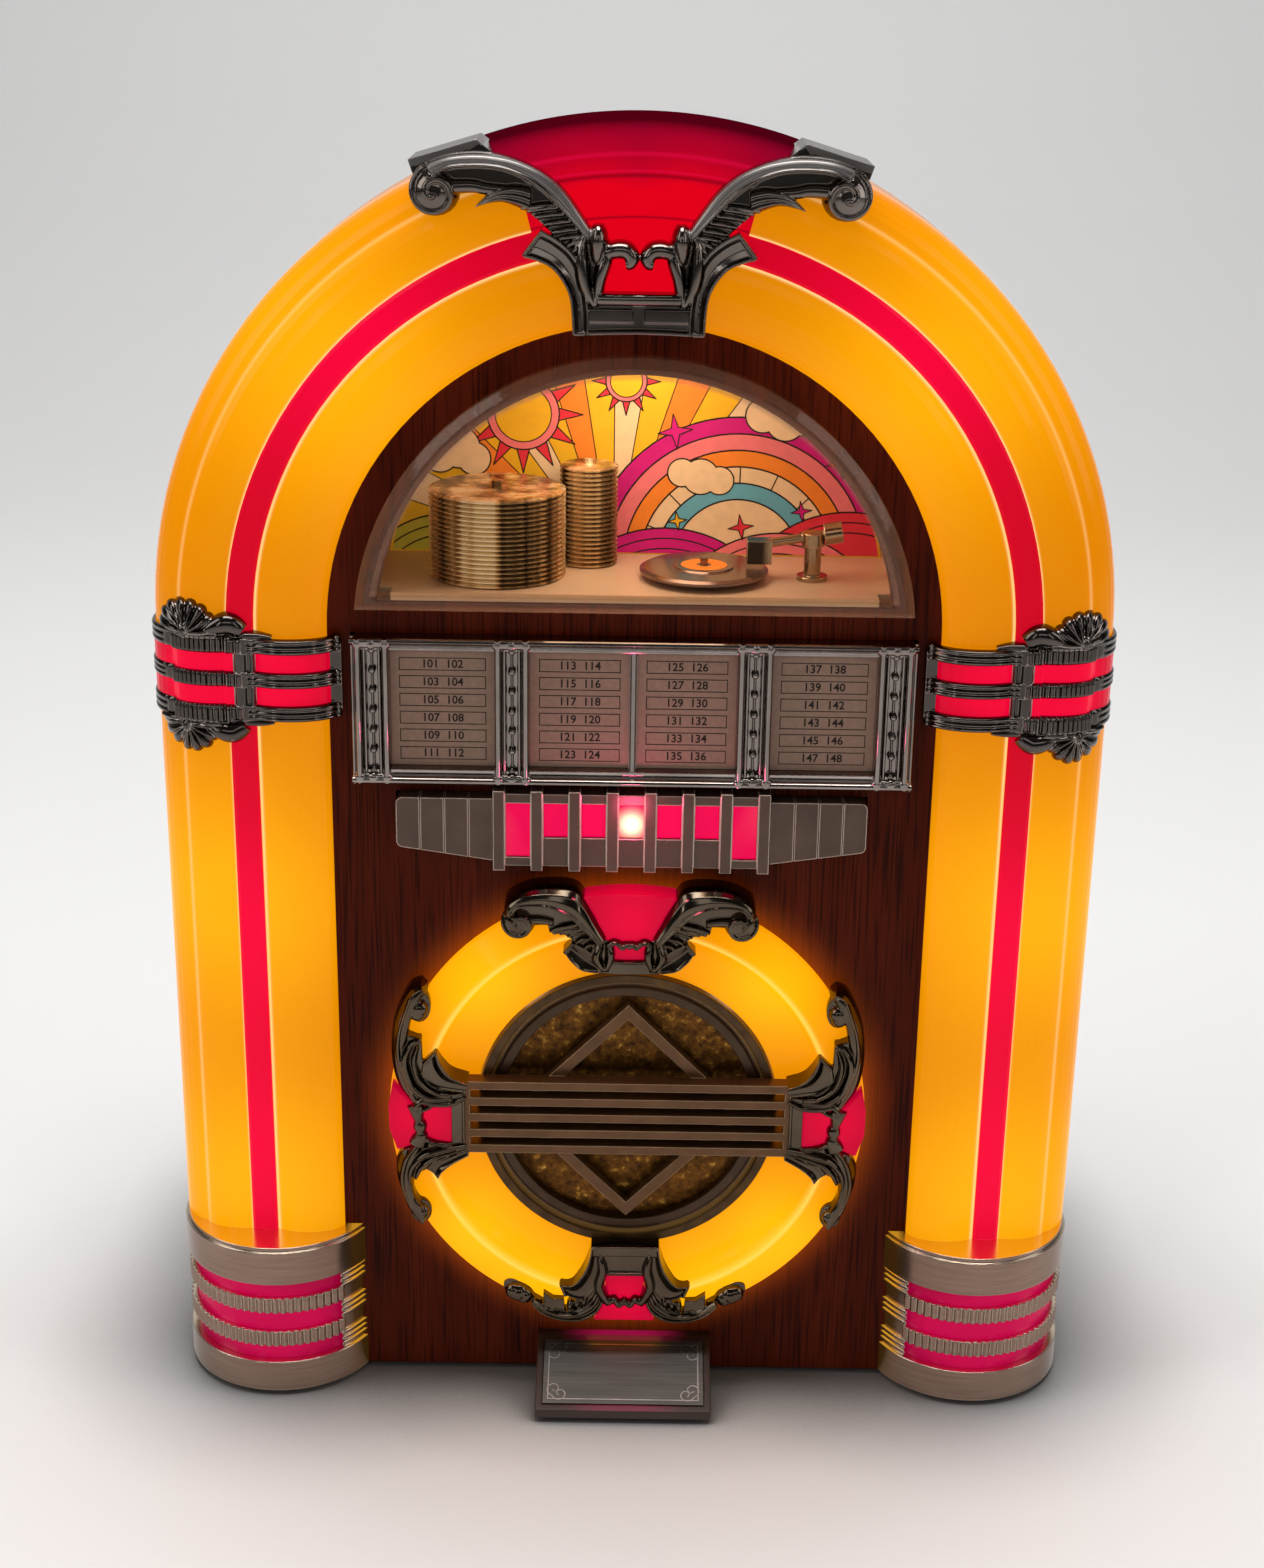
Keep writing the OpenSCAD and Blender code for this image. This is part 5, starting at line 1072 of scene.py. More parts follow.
rail_face = [(0, 2.4), (0.05, 4.0), (0.16, 4.8), (0.3, 5.0), (0.42, 4.6), (0.5, 3.7), (0.58, 3.2),
             (0.72, 3.5), (0.86, 3.2), (1, 1.6)]
metal = bmesh.new()
for up in (1, -1):
    rail = [[Vector((x, title_mid + up * (title_rise - wide))) for x in (-title_half, 0, title_half)]
            for wide in (0, 4.4)]
    ribbon(metal, *rail, rail_face, 0.05)
for x in (-66.1, -30.745, 30.745, 66.1):
    low, high = title_low.z + 0.6, title_high.z - 0.6
    slab(metal, block(x - 4.4, x + 4.4, low, high), 0.05, 1.7)
    for off, half in ((-3.5, 0.95), (3.5, 0.95), (-1.9, 0.5), (1.9, 0.5)):
        rib(metal, upright(x + off, 0.6), half, 2.2 * half, 2.2 + half, 1.0)
    rib(metal, upright(x, 0.6), 0.28, 0.5, 1.9, 1.0)
    for i in range(7):
        ball(metal, x, title_mid + 5.3 * (i - 3), 2.7, 1.0)
    for z in (low + 1.3, high - 1.3):
        cord(metal, through([(x - 4.7, z, 3.4), (x, z, 3.7), (x + 4.7, z, 3.4)], 4), (1.1, 1.2, 1.1))
        for off in (-3.5, 0, 3.5):
            ball(metal, x + off, z, 3.7, 1.5)
slab(metal, block(-1, 1, title_low.z + 3, title_high.z - 3), 0.05, 1.8)
rib(metal, upright(0, 3), 0.8, 1.2, 1.8, 1.0)
for x in (-title_half + 0.5, title_half - 0.5):
    rib(metal, upright(x, 0), 0.5, 1.0, 3.0, 0.05)
mesh = to_mesh("title_mouldings", metal)
piece = add_piece("title_mouldings", mesh, chrome)
mesh.set_sharp_from_angle(angle=math.radians(40))
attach(piece, "cabinet")
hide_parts("title_frame")

card = surface("grey_card", (700.0, 4.0), [(0.3, (0.32, 0.200, 0.145)), (0.7, (0.38, 0.240, 0.175))],
               drift=(0.5, 0.66), relief=(0.1, 0.0001), Specular_IOR_Level=0.2)
dress(["title_cards"], card)


def framed(half_w, half_h):
    """A closed rectangle about the origin, drawn from its lower left corner."""
    corners = ((-half_w, -half_h), (half_w, -half_h), (half_w, half_h), (-half_w, half_h), (-half_w, -half_h))
    return [Vector(corner) for corner in corners]


writing = bmesh.new()
card_p = front_y - box_mm("title_cards")[0].y + 0.06
for column, (middle, half) in enumerate(((-48.4, 10.9), (-13.6, 10.2), (13.6, 10.2), (48.4, 10.9))):
    for row in range(6):
        spot = Vector((middle, title_mid + 4.75 * (2.5 - row)))
        for strip in strips_of([spot + v for v in framed(half, 1.6)], 0.2):
            writing.faces.new([writing.verts.new(place(v.x, v.y, card_p)) for v in strip])
        words = bpy.data.curves.new("strip_number", "FONT")
        first = 101 + 2 * (6 * column + row)
        words.body = f"{first}  {first + 1}"
        words.size, words.resolution_u, words.offset = 3.0, 3, 0.05
        words.align_x, words.align_y = "CENTER", "CENTER"
        holder = bpy.data.objects.new("strip_number", words)
        collection.objects.link(holder)
        flat = bpy.data.meshes.new_from_object(holder.evaluated_get(bpy.context.evaluated_depsgraph_get()))
        bpy.data.objects.remove(holder)
        corners = [writing.verts.new(place(spot.x + v.co.x, spot.y + v.co.y, card_p)) for v in flat.vertices]
        for face in flat.polygons:
            writing.faces.new([corners[i] for i in face.vertices])
        bpy.data.meshes.remove(flat)
piece = add_piece("title_print", to_mesh("title_print", writing), inks["black"], smooth=False)
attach(piece, "cabinet")

# Push keys: eight keys of smoked, half-metallic plastic on springs, four on each side of
# a box of the same stuff with seven lit windows.
# Key edges are painted lighter towards a pale gold: a painted edge highlight.
smoked = surface("smoked_plastic", (120.0, 4.0), [(0.3, (0.092, 0.056, 0.040)), (0.7, (0.120, 0.076, 0.056))],
                 marks=(0.3, 0.12, 70.0), edge=0.0005, painted_edge_highlight=((0.95, 0.76, 0.62), 1.0), Metallic=0.55)
dress(["key_bezel"] + [f"key_{side}_{i}" for side in ("left", "right") for i in range(1, 5)], smoked)

key_z = box_mm("key_bezel")[0].z
nowhere = (0, 1)
window_pink, *_ = lens_finish(
    "window_pink", (0.25, 0.001, 0.03), dim=(0.86, 0.0008, 0.075), bright=(3.4, 2.2, 1.35),
    lamps=((0.0, key_z / mm + 0.0125), nowhere, nowhere), spread=0.0030, front=0.01, depth=0.03, rear=0.6,
    strength=0.95)
dress(["key_windows"], window_pink)
add_light("selector_lamp", "POINT", place(0, key_z + 14, 17), 0.012, (1.0, 0.10, 0.30),
          shadow_soft_size=0.003)

# Lit ring: a coved amber lens round the speaker with a crest, lit by lamps in the white
# reflector behind it. Plated scrolls frame it, with small red windows let into them.
ring_up = ring_z / mm
crest_r = ring_r - 9.5
ring_amber, tree, shader, light = lens_finish(
    "ring_amber", (0.50, 0.150, 0.001), dim=(0.84, 0.27, 0.0006), bright=(1.15, 0.52, 0.003),
    lamps=((0.037, ring_up + 0.037), (0.042, ring_up - 0.036), (0.020, ring_up - 0.056)), spread=0.017,
    front=0.007, depth=0.02, rear=0.7, strength=0.92)
# A painted highlight line runs along the crest in the glow.
painted_crest_highlight = maths(tree, "MULTIPLY", line_at(tree, ring_radius(tree), crest_r + 0.4, 0.7), 0.7)
connect(tree, shader, {"Emission Color": blend(tree, painted_crest_highlight, light, (1.2, 0.78, 0.14))})
dress(["ring_lens"], ring_amber)


def ring_top(x, z):
    return Vector((x, ring_z + ring_r + z))


def ring_bottom(x, z):
    return Vector((x, ring_z - ring_r + z))


def ring_side(x, z):
    return Vector((ring_r + x, ring_z + z))


ring_p = 7.8
metal = bmesh.new()
outside = edge_line((-32.9, -5), (-32, -0.9), (-26.7, 2.1), (-20.5, 3), (-14.4, 2.4), (-11.6, -0.6),
                    (-8.8, -5.8), (-5.9, -10.8), at=ring_top)
inside = edge_line((-30.9, -4), (-29.2, -2), (-26, -1.3), (-20.5, -1.7), (-15.4, -4.3), (-11.7, -7.8),
                   (-9.8, -9.8), (-7.8, -12), at=ring_top)
ribbon(metal, outside, inside, [(0, 5.6), (0.08, 7.8), (0.3, 9.6), (0.6, 10.4), (0.85, 10.2), (1, 9.4)], 0)
rib(metal, inside, (0.4, 0.5, 0.4), 1.3, 9.4, 0)
eye = ring_top(-28.9, -7)
ball(metal, eye.x, eye.y, 5.6, 4.5, 0.95)
slab(metal, oval(eye, 3.9, 3.9), 0, 6)
cord(metal, coil(eye, 4.2, 500, 40, 5.9, 2.0, 20.2), (0.65, 0.7, 0.45))
under_band = edge_line((-19.6, -7.8), (-21.4, -7.6), (-25.4, -7.8), count=2, at=ring_top)
slab(metal, inside[8:30] + under_band, 0, ring_p)
roll = spots_at(ring_top, (-26, -6.2), (-23.4, -6.1), (-20, -6.6))
cord(metal, through([(v.x, v.y, 7.9) for v in roll], 6), (1.4, 1.2, 1.0))
low_edge = edge_line((-21.2, -8.4), (-20.4, -9.7), (-16.8, -10.3), (-12.5, -13.5), (-9.2, -15.8), at=ring_top)
leaf_top = edge_line((-21.4, -7.2), (-20.4, -5.4), count=2, at=ring_top)
slab(metal, leaf_top + inside[24::4] + low_edge[::-3], 0, ring_p + 0.2)
for i in range(7):
    tip = low_edge[5 + int(25 * i / 6)]
    root = min(inside, key=lambda v: abs(v.y - tip.y - 2.6 + 0.2 * i)) + Vector((-0.5, -0.2))
    barb(metal, tip, root, (-0.2, 0.4), (0.35, 0.72, 0.5), (0.9, 1.9, 1.2), ring_p)
flare = edge_line((-14.7, -12), (-12.2, -13.2), (-9.4, -15.2), (-7.6, -18.4), at=ring_top)
flare_low = edge_line((-17, -15), (-15.2, -17.6), (-12.4, -20), (-8.4, -20.8), at=ring_top)
ribbon(metal, flare, flare_low, [(0, 9.4), (0.12, 9.2), (0.5, 8.0), (0.85, 8.5), (1, 9.0)], 0)
end_rib(metal, flare[0], flare_low[0], 4, 0.5, 1.0, 8.8)
plinth = ((-11.9, -20.7), (-6, -21.2), (0.2, -21.4), (0.2, -17.2), (-6.4, -17), (-10.4, -16))
slab(metal, spots_at(ring_top, *plinth), 0, ring_p + 0.2)
for path, half, height in (
        (((-6.4, -17.6), (-3, -17.7), (0.2, -17.8)), 0.5, 0.8),
        (((-7.4, -12.2), (-8.6, -16), (-6.4, -20.2)), (0.7, 1.25, 0.4), (1.4, 2.8, 1.0)),
        (((-5.6, -12), (-4.9, -15.6), (-6.1, -20.2)), (0.7, 1.25, 0.4), (1.4, 2.8, 1.0)),
        (((-5.6, -13), (-4.4, -11.9), (-2.9, -12.2), (-1.8, -13.3), (-0.7, -12.4), (0.3, -13.4)),
         (0.9, 0.85, 0.8), (1.8, 2.0, 1.6))):
    rib(metal, edge_line(*path, at=ring_top), half, height, ring_p + 0.2, 0)
slab(metal, spots_at(ring_top, (-7.8, -11.6), (-4.9, -11.6), (-5.2, -20.4), (-7.4, -20.4)), 0, ring_p + 0.5)
# A browner copy of the dark chrome with orange edges for the ring scrolls: a painted reflection of the amber
# lens.
ring_chrome_painted_amber = dark_plating("ring_chrome_painted_amber", (0.085, 0.064, 0.044), (0.125, 0.098, 0.072),
                           (0.90, 0.60, 0.28), 0.12)
piece = cast("ring_top_scrolls", metal, ring_chrome_painted_amber)
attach(piece, "cabinet")
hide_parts("ring_top_ornament")

metal = bmesh.new()
outside = edge_line((-9, 38.3), (-6, 36.8), (-3.3, 32.1), (-1.4, 26.3), (-0.7, 19), (-1.2, 13.1), (-2.4, 8.7),
                    (-4.5, 5.3), (-6.6, 2.8), at=ring_side)
inside = edge_line((-10.6, 36.6), (-8.8, 33.6), (-7, 29.6), (-6, 25.6), (-5.4, 19.4), (-5.9, 14.2),
                   (-7.4, 10), (-9, 7), (-8.6, 2.8), at=ring_side)
ribbon(metal, outside, inside, [(0, 3.8), (0.1, 6.6), (0.35, 8.4), (0.65, 8.8), (0.9, 8.2), (1, 7.2)], 0)
bulb_at = ring_side(-8.6, 31.6)
slab(metal, oval(bulb_at, 3.1, 4.6, lift=0.4), 0, 6.6)
ball(metal, bulb_at.x, bulb_at.y, 6.6, 2.5)
ball(metal, bulb_at.x + 0.3, bulb_at.y - 1.4, 6.6, 2.3)
for outline in (((-5.4, 24), (-9.2, 23.2), (-9.4, 17), (-9.2, 11.8), (-11.4, 8.6), (-15.6, 6.6), (-20.6, 7.4),
                 (-20.6, 5), (-9, 4.4), (-7, 3.6), (-4, 8)),
                ((-16.9, 5), (-20.6, 5.6), (-20.6, -8.4), (-16.9, -8)),
                ((-3.4, -10.6), (-9, -7.6), (-20.6, -7.6), (-21.2, -10.4), (-13.6, -13), (-9.8, -16),
                 (-6, -18))):
    slab(metal, spots_at(ring_side, *outline), 0, ring_p)
for path, half, height, base in (
        (((-6.4, 34.8), (-3.6, 25.8), (-3.1, 18.5), (-4.9, 11.2), (-7.4, 5.3)), (0.3, 0.55, 0.5),
         (1.0, 1.4, 1.2), 8.2),
        (((-9.1, 23.2), (-6.4, 21.5), (-4.8, 17.6), (-5.3, 13.2), (-7.4, 8.6), (-11.4, 6), (-17, 6.2)),
         (0.5, 1.1, 0.7), (1.2, 2.4, 1.2), ring_p),
        (((-8.2, 21.4), (-7.2, 17.4), (-7.8, 13.6), (-9.8, 9.8), (-13, 7.6), (-17, 7)), (0.4, 0.9, 0.5),
         (1.2, 2.4, 1.2), ring_p),
        (((-7.4, 3.4), (-9, 5.2), (-12.5, 4.4), (-16.9, 4.4), (-20.8, 6.2)), (1.1, 1.1, 0.6), (2.4, 2.2, 1.2),
         ring_p - 0.2),
        (((-7.2, 3.8), (-7.8, 1.2), (-8.2, -1)), (2.3, 1.8, 1.2), (2.0, 2.5, 2.0), ring_p - 0.2),
        (((-8.2, -0.6), (-8.5, -2.6), (-8.6, -4.4)), (1.0, 1.9, 1.0), (2.0, 2.5, 2.0), ring_p - 0.2),
        (((-8.6, -3.8), (-8.6, -5.8), (-7.8, -8.4)), (1.1, 2.1, 2.6), (2.0, 2.5, 2.0), ring_p - 0.2),
        (((-8.4, 2), (-10, 2.6), (-12.4, 3.6)), (0.6, 0.7, 0.4), (1.6, 1.6, 0.8), ring_p - 0.2),
        (((-8.6, -5), (-10.6, -6.8), (-13.6, -7.8), (-17, -8)), (0.6, 0.7, 0.4), (1.6, 1.6, 0.8),
         ring_p - 0.2),
        (((-20.8, -8.2), (-14, -9.6), (-9, -11.4), (-6, -15.6), (-5.4, -20)), (0.5, 1.0, 0.5),
         (1.0, 2.2, 1.0), ring_p),
        (((-18, -10.2), (-12.8, -11.6), (-9, -14.4), (-7, -18.6)), (0.4, 0.9, 0.4), (1.0, 2.2, 1.0), ring_p)):
    rib(metal, edge_line(*path, at=ring_side), half, height, base, 0)
flare = edge_line((-13.2, 19.9), (-14.4, 16.3), (-17, 12.6), (-21.4, 10.6), at=ring_side)
flare_low = edge_line((-9.8, 16.2), (-9.4, 11.8), (-12.4, 8.8), (-20.8, 7.6), at=ring_side)
ribbon(metal, flare, flare_low, [(0, 9.4), (0.1, 9.2), (0.4, 7.9), (0.8, 7.9), (1, 8.4)], 0)
end_rib(metal, flare[0], flare_low[0], 4, 0.45, 0.9, 8.8)
rib(metal, [ring_side(-20.2, 5 - t) for t in range(13)], 0.4, 0.8, ring_p, 0)
outside = edge_line((-6.5, -7.9), (-3.2, -10.5), (-1.5, -14.8), (-1.6, -19.4), (-3.1, -24.4), (-4.5, -29),
                    (-7.9, -33.2), at=ring_side)
inside = edge_line((-9.2, -8.6), (-8.4, -12.4), (-7.4, -16), (-6.4, -20.4), (-6.8, -24), (-8.8, -27.4),
                   (-9.6, -31.6), at=ring_side)
ribbon(metal, outside, inside, [(0, 3.8), (0.1, 6.4), (0.35, 8.4), (0.65, 8.8), (0.9, 8.2), (1, 7.2)], 0)
spine = [a.lerp(b, 0.4) for a, b in zip(outside, inside)][:40]
rib(metal, spine, (0.5, 0.6, 0.3), (1.2, 1.4, 0.8), 8.2, 0)
tip_at = ring_side(-8.2, -29.4)
slab(metal, oval(tip_at, 2.9, 3.6), 0, 6.4)
ball(metal, tip_at.x - 0.2, tip_at.y, 6.2, 2.3)
ribbon(metal, edge_line((-10, -15.6), (-12, -13.4), (-16, -11.6), (-20.8, -9.4), at=ring_side),
       edge_line((-13.2, -18.2), (-14.6, -15.8), (-17.6, -13.4), (-21.6, -11), at=ring_side),
       [(0, 8.4), (0.3, 8.0), (0.6, 8.0), (0.9, 9.0), (1, 9.2)], 0)
piece = cast("ring_side_scrolls", metal, ring_chrome_painted_amber)
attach(piece, "cabinet")
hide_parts("ring_side_ornaments")

metal = bmesh.new()
outside = edge_line((-25.9, 6.2), (-22.8, 2.8), (-18, 1.1), (-12.3, 0.5), (-8, 2.0), (-5.7, 4.8), (-4.6, 8.4),
                    at=ring_bottom)
inside = edge_line((-24.8, 8.4), (-21.4, 6.2), (-16.8, 4.6), (-13, 5.6), (-10.6, 7.4), (-9, 9.2),
                   (-7.6, 12.4), at=ring_bottom)
ribbon(metal, outside, inside, [(0, 3.6), (0.1, 5.8), (0.35, 8.0), (0.65, 8.6), (0.9, 8.2), (1, 7.2)], 0)
for share in (0.35, 0.68):
    spine = [a.lerp(b, share) for a, b in zip(outside, inside)]
    rib(metal, spine, (0.3, 0.55, 0.5), (0.8, 1.3, 1.2), 8.0, 0)
for x, z, r in ((-30.6, 9.6, 2.5), (-29.2, 9.2, 2.8), (-27.6, 8.2, 2.5)):
    ball(metal, *ring_bottom(x, z), 5.4, r)
slab(metal, oval(ring_bottom(-29.2, 9.4), 4.3, 3.3, lean=1.6), 0, 5.4)
for outline, p in ((((-22.4, 10.4), (-22.2, 6.6), (-20.4, 5.6), (-16.4, 4.6), (-16.7, 8.3), (-19.6, 8.2)),
                    0.2),
                   (((-7, 13.4), (-11.6, 9.4), (-9.4, 7.2), (-6, 9.6)), -0.2),
                   (((0.2, 25.1), (-9.3, 25.1), (-9.6, 22.2), (0.2, 22.2)), 0.6),
                   (((0.2, 22.6), (-6.8, 22.6), (-5.6, 16), (0.2, 16)), -0.2)):
    slab(metal, spots_at(ring_bottom, *outline), 0, ring_p + p)
for i in range(3):
    path = edge_line((-14.8 + 1.9 * i, 5.0 + 0.7 * i), (-15 + 1.9 * i, 6.6 + 0.7 * i),
                     (-14.2 + 1.9 * i, 7.9 + 0.5 * i), at=ring_bottom)
    rib(metal, path, (0.6, 0.9, 0.4), (1.0, 1.5, 0.6), ring_p - 0.4, 0)
flare = edge_line((-9.2, 24.9), (-10, 20.6), (-11.6, 16.6), (-14.4, 13.2), (-17.6, 13.2), at=ring_bottom)
flare_low = edge_line((-6.8, 24.6), (-6.6, 18), (-7.8, 12.4), (-11.4, 8.6), (-16.2, 9.7), at=ring_bottom)
ribbon(metal, flare, flare_low, [(0, 9.0), (0.12, 8.8), (0.45, 7.9), (0.8, 8.2), (1, 8.6)], 0)
end_rib(metal, flare[-1], flare_low[-1], 4, 0.45, 0.9, 8.2)
for path, half, height, base in (
        (((-6, 16.6), (-3, 16.6), (0.2, 16.6)), 0.6, 1.0, -0.2),
        (((-6.9, 22.6), (-6.1, 18), (-6.9, 12.6), (-4.4, 7.2)), (0.6, 1.5, 0.9), (1.4, 2.8, 1.6), 0),
        (((-5.4, 9.4), (-4, 8), (-2.9, 8.9), (-1.5, 7), (0.3, 8.6)), (1.0, 0.95, 0.9), (1.6, 2.0, 1.6),
         -0.2)):
    rib(metal, edge_line(*path, at=ring_bottom), half, height, ring_p + base, 0)
piece = cast("ring_bottom_scrolls", metal, ring_chrome_painted_amber)
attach(piece, "cabinet")
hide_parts("ring_bottom_ornament")

ring_red, *_ = lens_finish(
    "ring_red", (0.42, 0.001, 0.014), dim=(0.38, 0.0004, 0.026), bright=(0.70, 0.0006, 0.040),
    lamps=((0.0, ring_up + 0.056), (0.056, ring_up), (0.0, ring_up - 0.056)), spread=0.010, front=0.01,
    depth=0.03, rear=0.5, strength=0.85)
panes = bmesh.new()
outer_pane = ((-1.2, 9.6), (-6.6, 3.4), (-8.2, -0.2), (-8.6, -7.6), (-2.2, -10.4), (-0.1, -4), (0, 3))
inner_pane = ((-8.4, -0.2), (-9, 4.8), (-17, 5.2), (-17, -8), (-9, -7))
fan = (edge_line((-12.2, 0.2), (-6.5, 1), (0, 1.3), (6.5, 1), (12.2, 0.2), count=4, at=ring_top)
       + spots_at(ring_top, (9.2, -5), (6, -12), (-6, -12), (-9.2, -5)))
for outline, p in ((fan, 0),
                   (spots_at(ring_top, (-5, -13), (5, -13), (5.6, -18), (-5.6, -18)), -0.3),
                   (spots_at(ring_bottom, (-5.8, 16.8), (5.8, 16.8), (4.4, 8.4), (-4.4, 8.4)), -0.4),
                   (spots_at(ring_bottom, (-5, 8.4), (5, 8.4), (8.4, 1.2), (-8.4, 1.2)), -0.8),
                   (spots_at(ring_side, *outer_pane), -0.4), (spots_at(ring_side, *inner_pane), -0.3),
                   ([ring_side(-2 * ring_r - x, z) for x, z in outer_pane], -0.4),
                   ([ring_side(-2 * ring_r - x, z) for x, z in inner_pane], -0.3)):
    slab(panes, outline, 0.05, ring_p + p)
bmesh.ops.recalc_face_normals(panes, faces=panes.faces)
bmesh.ops.bevel(panes, geom=panes.edges[:], offset=0.0003, segments=2, affect="EDGES")
piece = add_piece("ring_panes", to_mesh("ring_panes", panes, outward=False), ring_red, smooth=False)
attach(piece, "cabinet")
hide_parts("ring_windows")

moulded = surface("white_moulding", (40.0, 3.0), [(0.3, (0.70, 0.69, 0.66)), (0.7, (0.80, 0.79, 0.76))],
                  marks=(0.4, 0.1, 40.0))
dress(["ring_reflector"], moulded)

# Speaker grille: a turned rim and five flat bars with a diamond behind them, painted
# bronze brown. A disc of crinkled gold cloth is stretched across the back of the rim.
# The bar edges are painted lighter: a painted edge highlight.
bronze = surface("bronze_paint", (160.0, 5.0), [(0.3, (0.118, 0.052, 0.017)), (0.7, (0.160, 0.076, 0.030))],
                 marks=(0.36, 0.14, 70.0), edge=0.0005, painted_edge_highlight=((0.50, 0.34, 0.2), 1.0), relief=(0.04, 0.0002),
                 Metallic=0.5)
dress(["grille_bars"], bronze)

rim, tree, shader = new_finish("rim_bronze", Metallic=0.5)
radius = ring_radius(tree)
paint = mottle(tree, 160.0, 5.0)
plain = ramp(tree, paint, [(0.3, (0.048, 0.022, 0.007)), (0.7, (0.074, 0.036, 0.014))])
foil = ramp(tree, paint, [(0.35, (0.040, 0.017, 0.002)), (0.7, (0.12, 0.056, 0.008))])
toned = blend(tree, between(tree, radius, 0.0376, 0.0380), plain, foil)
marked(tree, shader, 0.3, 0.14, 70.0)
# The thin pale line round the rim at 37.5 mm is a painted highlight.
connect(tree, shader, {"Base Color": blend(tree, line_at(tree, radius, 37.5, 0.3), toned, (0.75, 0.42, 0.12)),
                       "Normal": rounded(tree, 0.0005)["Normal"]})
dress(["grille_rim"], rim)

cloth = surface("gold_cloth", (420.0, 6.0, 0.7), [(0.35, (0.050, 0.018, 0.001)), (0.58, (0.19, 0.072, 0.005)),
                                                  (0.74, (0.75, 0.42, 0.07))],
                drift=(0.5, 0.24), relief=(0.5, 0.0005), Metallic=0.75)
cloth_low, cloth_high = box_mm("grille_cloth")
cloth_r = (cloth_high.x - cloth_low.x) / 2
cloth_p = front_y - cloth_low.y
rings, turns = 44, 160
weave = bmesh.new()
rows = []
for i in range(rings + 1):
    r = cloth_r * i / rings
    held = min(1.0, (cloth_r - r) / 5)
    row = []
    for a in around(turns if i else 1):
        x, z = r * math.cos(a), r * math.sin(a)
        lift = 0.3 * noise.noise((x / 5, z / 5, 1.7)) + 0.16 * noise.noise((x / 1.9, z / 1.9, 5.1))
        row.append(weave.verts.new(place(x, ring_z + z, cloth_p - 0.3 + lift * held)))
    rows.append(row)
for i in range(rings):
    for j in range(turns):
        k = (j + 1) % turns
        outer = (rows[i + 1][j], rows[i + 1][k])
        weave.faces.new((rows[0][0], *outer) if i == 0 else (rows[i][j], *outer, rows[i][k]))
weave.normal_update()
piece = add_piece("speaker_cloth", to_mesh("speaker_cloth", weave, outward=False), cloth)
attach(piece, "cabinet")
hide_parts("grille_cloth")

# Plaque: a sloping block of dark gloss moulding on the floor in front of the ring, with a
# pewter plate let into its face.
block_gloss, tree, shader = new_finish("dark_gloss", Coat_Weight=0.2, Coat_Roughness=0.08,
                                       Emission_Strength=1.0)
tone = ramp(tree, mottle(tree, 60.0, 4.0), [(0.3, (0.030, 0.012, 0.007)), (0.7, (0.046, 0.020, 0.012))])
# Top faces near the middle get a painted magenta reflection in their emission.
ledge = between(tree, split(tree, add_node(tree, "NewGeometry").outputs["Normal"])["Z"], 0.9, 0.97)
inward = maths(tree, "ABSOLUTE", split(tree, here(tree))["X"])
under = maths(tree, "MULTIPLY", ledge, between(tree, inward, 0.019, 0.004, kind="SMOOTHSTEP"))
marked(tree, shader, 0.3, 0.12, 60.0)
connect(tree, shader, {"Base Color": tone, "Normal": rounded(tree, 0.0006)["Normal"],
                       "Emission Color": blend(tree, under, (0, 0, 0), (0.26, 0.001, 0.045))})
dress(["plaque_block"], block_gloss)

pewter = surface("brushed_pewter", (1.0, 4.0), [(0.3, (0.088, 0.085, 0.077)), (0.7, (0.130, 0.126, 0.115))],
                 stretched=(40.0, 1600.0, 1600.0), marks=(0.44, 0.16, 60.0), relief=(0.08, 0.0001),
                 Metallic=0.9)
dress(["plaque_plate"], pewter)

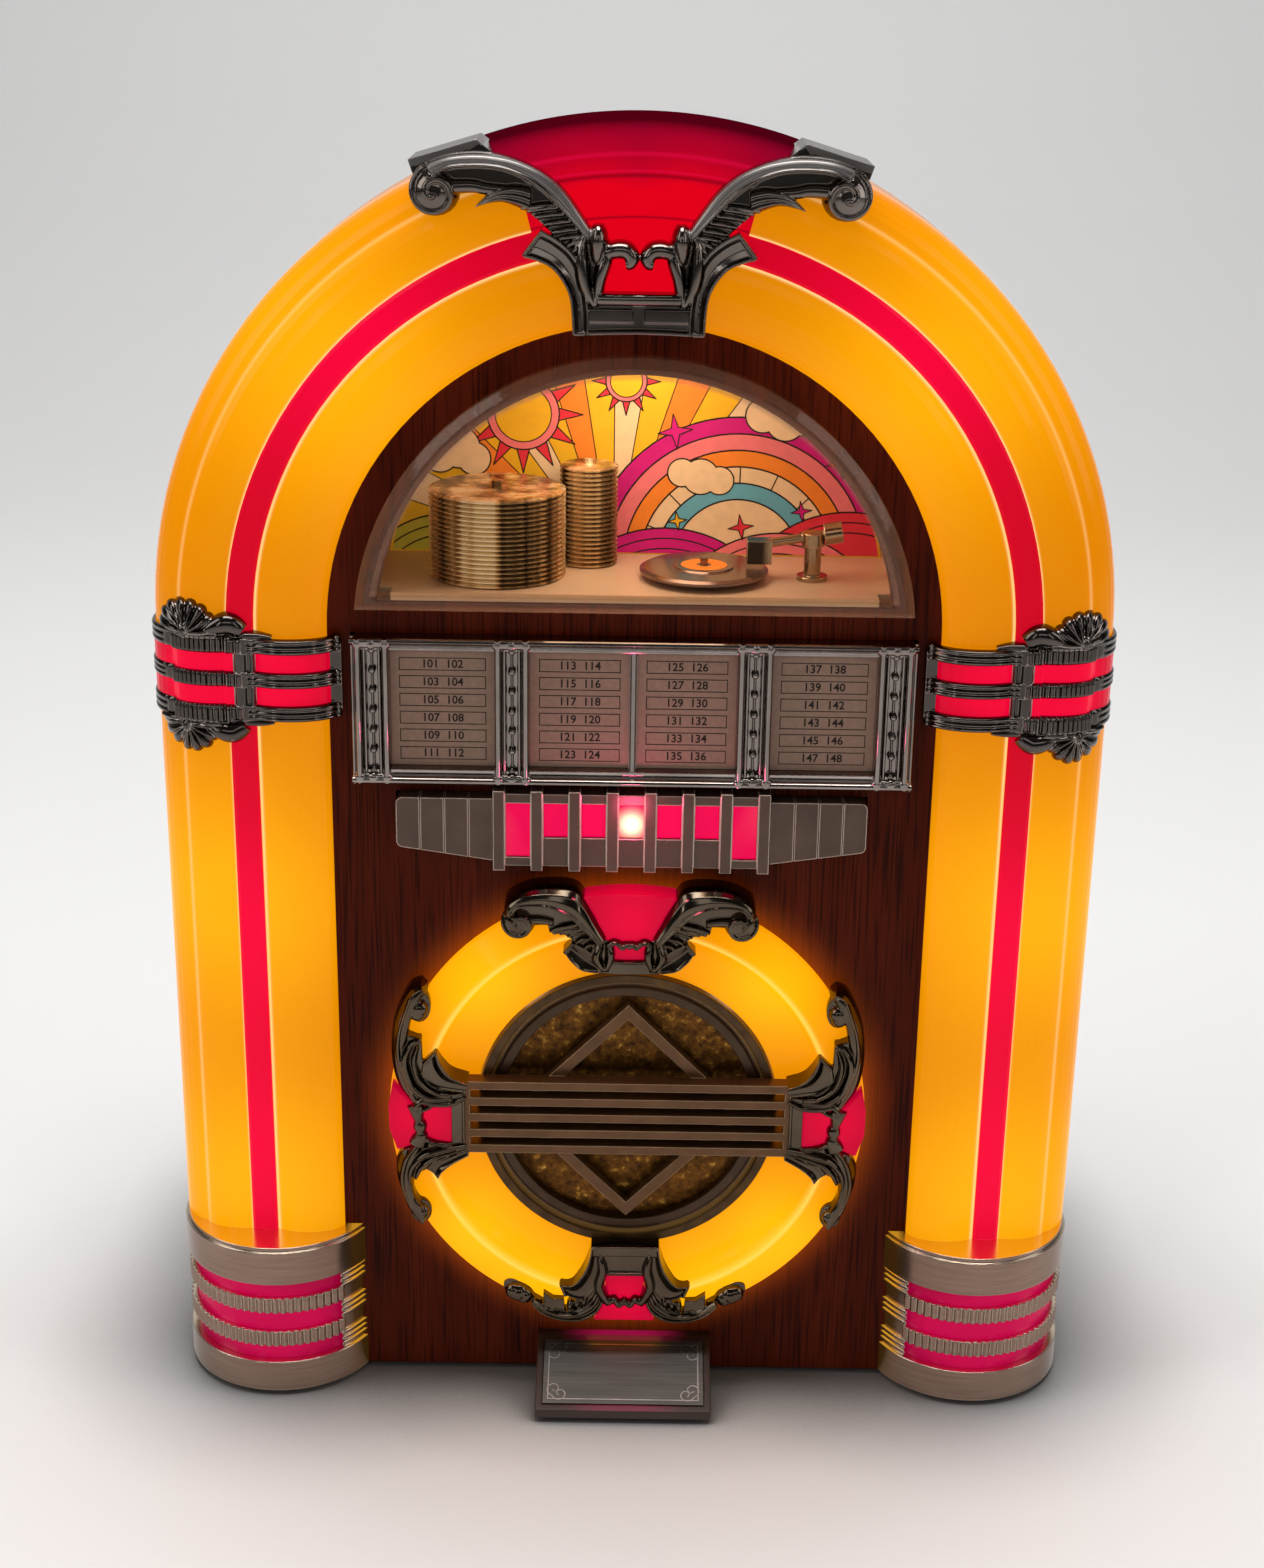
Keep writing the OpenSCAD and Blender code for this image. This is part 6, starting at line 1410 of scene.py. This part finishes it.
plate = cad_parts["plaque_plate"].data
face = max((f for f in plate.polygons if f.normal.y < 0 and f.normal.z > 0), key=lambda f: f.area)
out = face.normal.copy()
spots = [v.co for v in plate.vertices if abs((v.co - face.center).dot(out)) < 1e-5]
middle = sum(spots, Vector()) / len(spots)
rise = out.cross(Vector((1, 0, 0)))
rise = rise if rise.z > 0 else -rise
margin = 1.4
half_w = max(abs(v.x - middle.x) for v in spots) * mm - margin
half_h = max(abs((v - middle).dot(rise)) for v in spots) * mm - margin
lines = [framed(half_w, half_h)]
curl = []
for i in range(21):
    r, turn = 0.5 + 1.7 * (1 - i / 20), math.radians(200 + 20 * i)
    curl.append((3.2 + r * math.cos(turn), 1.7 + r * math.sin(turn)))
for side in (-1, 1):
    for up in (-1, 1):
        lines.append([Vector((side * (half_w - a), up * (half_h - b))) for a, b in curl])
        lines.append([Vector((side * (half_w - b), up * (half_h - a))) for a, b in curl])
engraving = bmesh.new()
for line in lines:
    for strip in strips_of(line, 0.28):
        spots = [middle + Vector((v.x / mm, 0, 0)) + rise * (v.y / mm) + out * 0.00006 for v in strip]
        engraving.faces.new([engraving.verts.new(spot) for spot in spots])
bright_line = surface("pewter_line", (300.0, 3.0), [(0.3, (0.30, 0.28, 0.26)), (0.7, (0.5, 0.47, 0.44))],
                      drift=(0.28, 0.4), Metallic=0.9)
piece = add_piece("plaque_border", to_mesh("plaque_border", engraving), bright_line, smooth=False)
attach(piece, "cabinet")

# Inside: a circuit board, a transformer, the switch board, the speaker's magnet and the
# lamps, all screwed or glued in behind the panel.
laminate, tree, shader = new_finish("board_laminate", Specular_IOR_Level=0.45)
wave = add_node(tree, "TexWave", {"Vector": here(tree), "Scale": 500.0, "Distortion": 1.0}).outputs["Fac"]
green = ramp(tree, wave, [(0.3, (0.012, 0.075, 0.03)), (0.7, (0.02, 0.11, 0.045))])
connect(tree, shader, {"Base Color": green})
marked(tree, shader, 0.38, 0.14, 60.0)
dress(["key_switch_board", "circuit_board"], laminate)

ferrite = surface("ferrite", (300.0, 6.0), [(0.3, (0.04, 0.04, 0.042)), (0.7, (0.075, 0.074, 0.072))],
                  drift=(0.5, 0.7), relief=(0.1, 0.0002), Metallic=0.3)
dress(["speaker_magnet", "transformer"], ferrite)

bulb = surface("warm_bulb", (200.0, 3.0), [(0.3, (0.9, 0.62, 0.32)), (0.7, (1.0, 0.78, 0.5))], glowing=True,
               Emission_Strength=1.5)
dress(["lamps"], bulb)
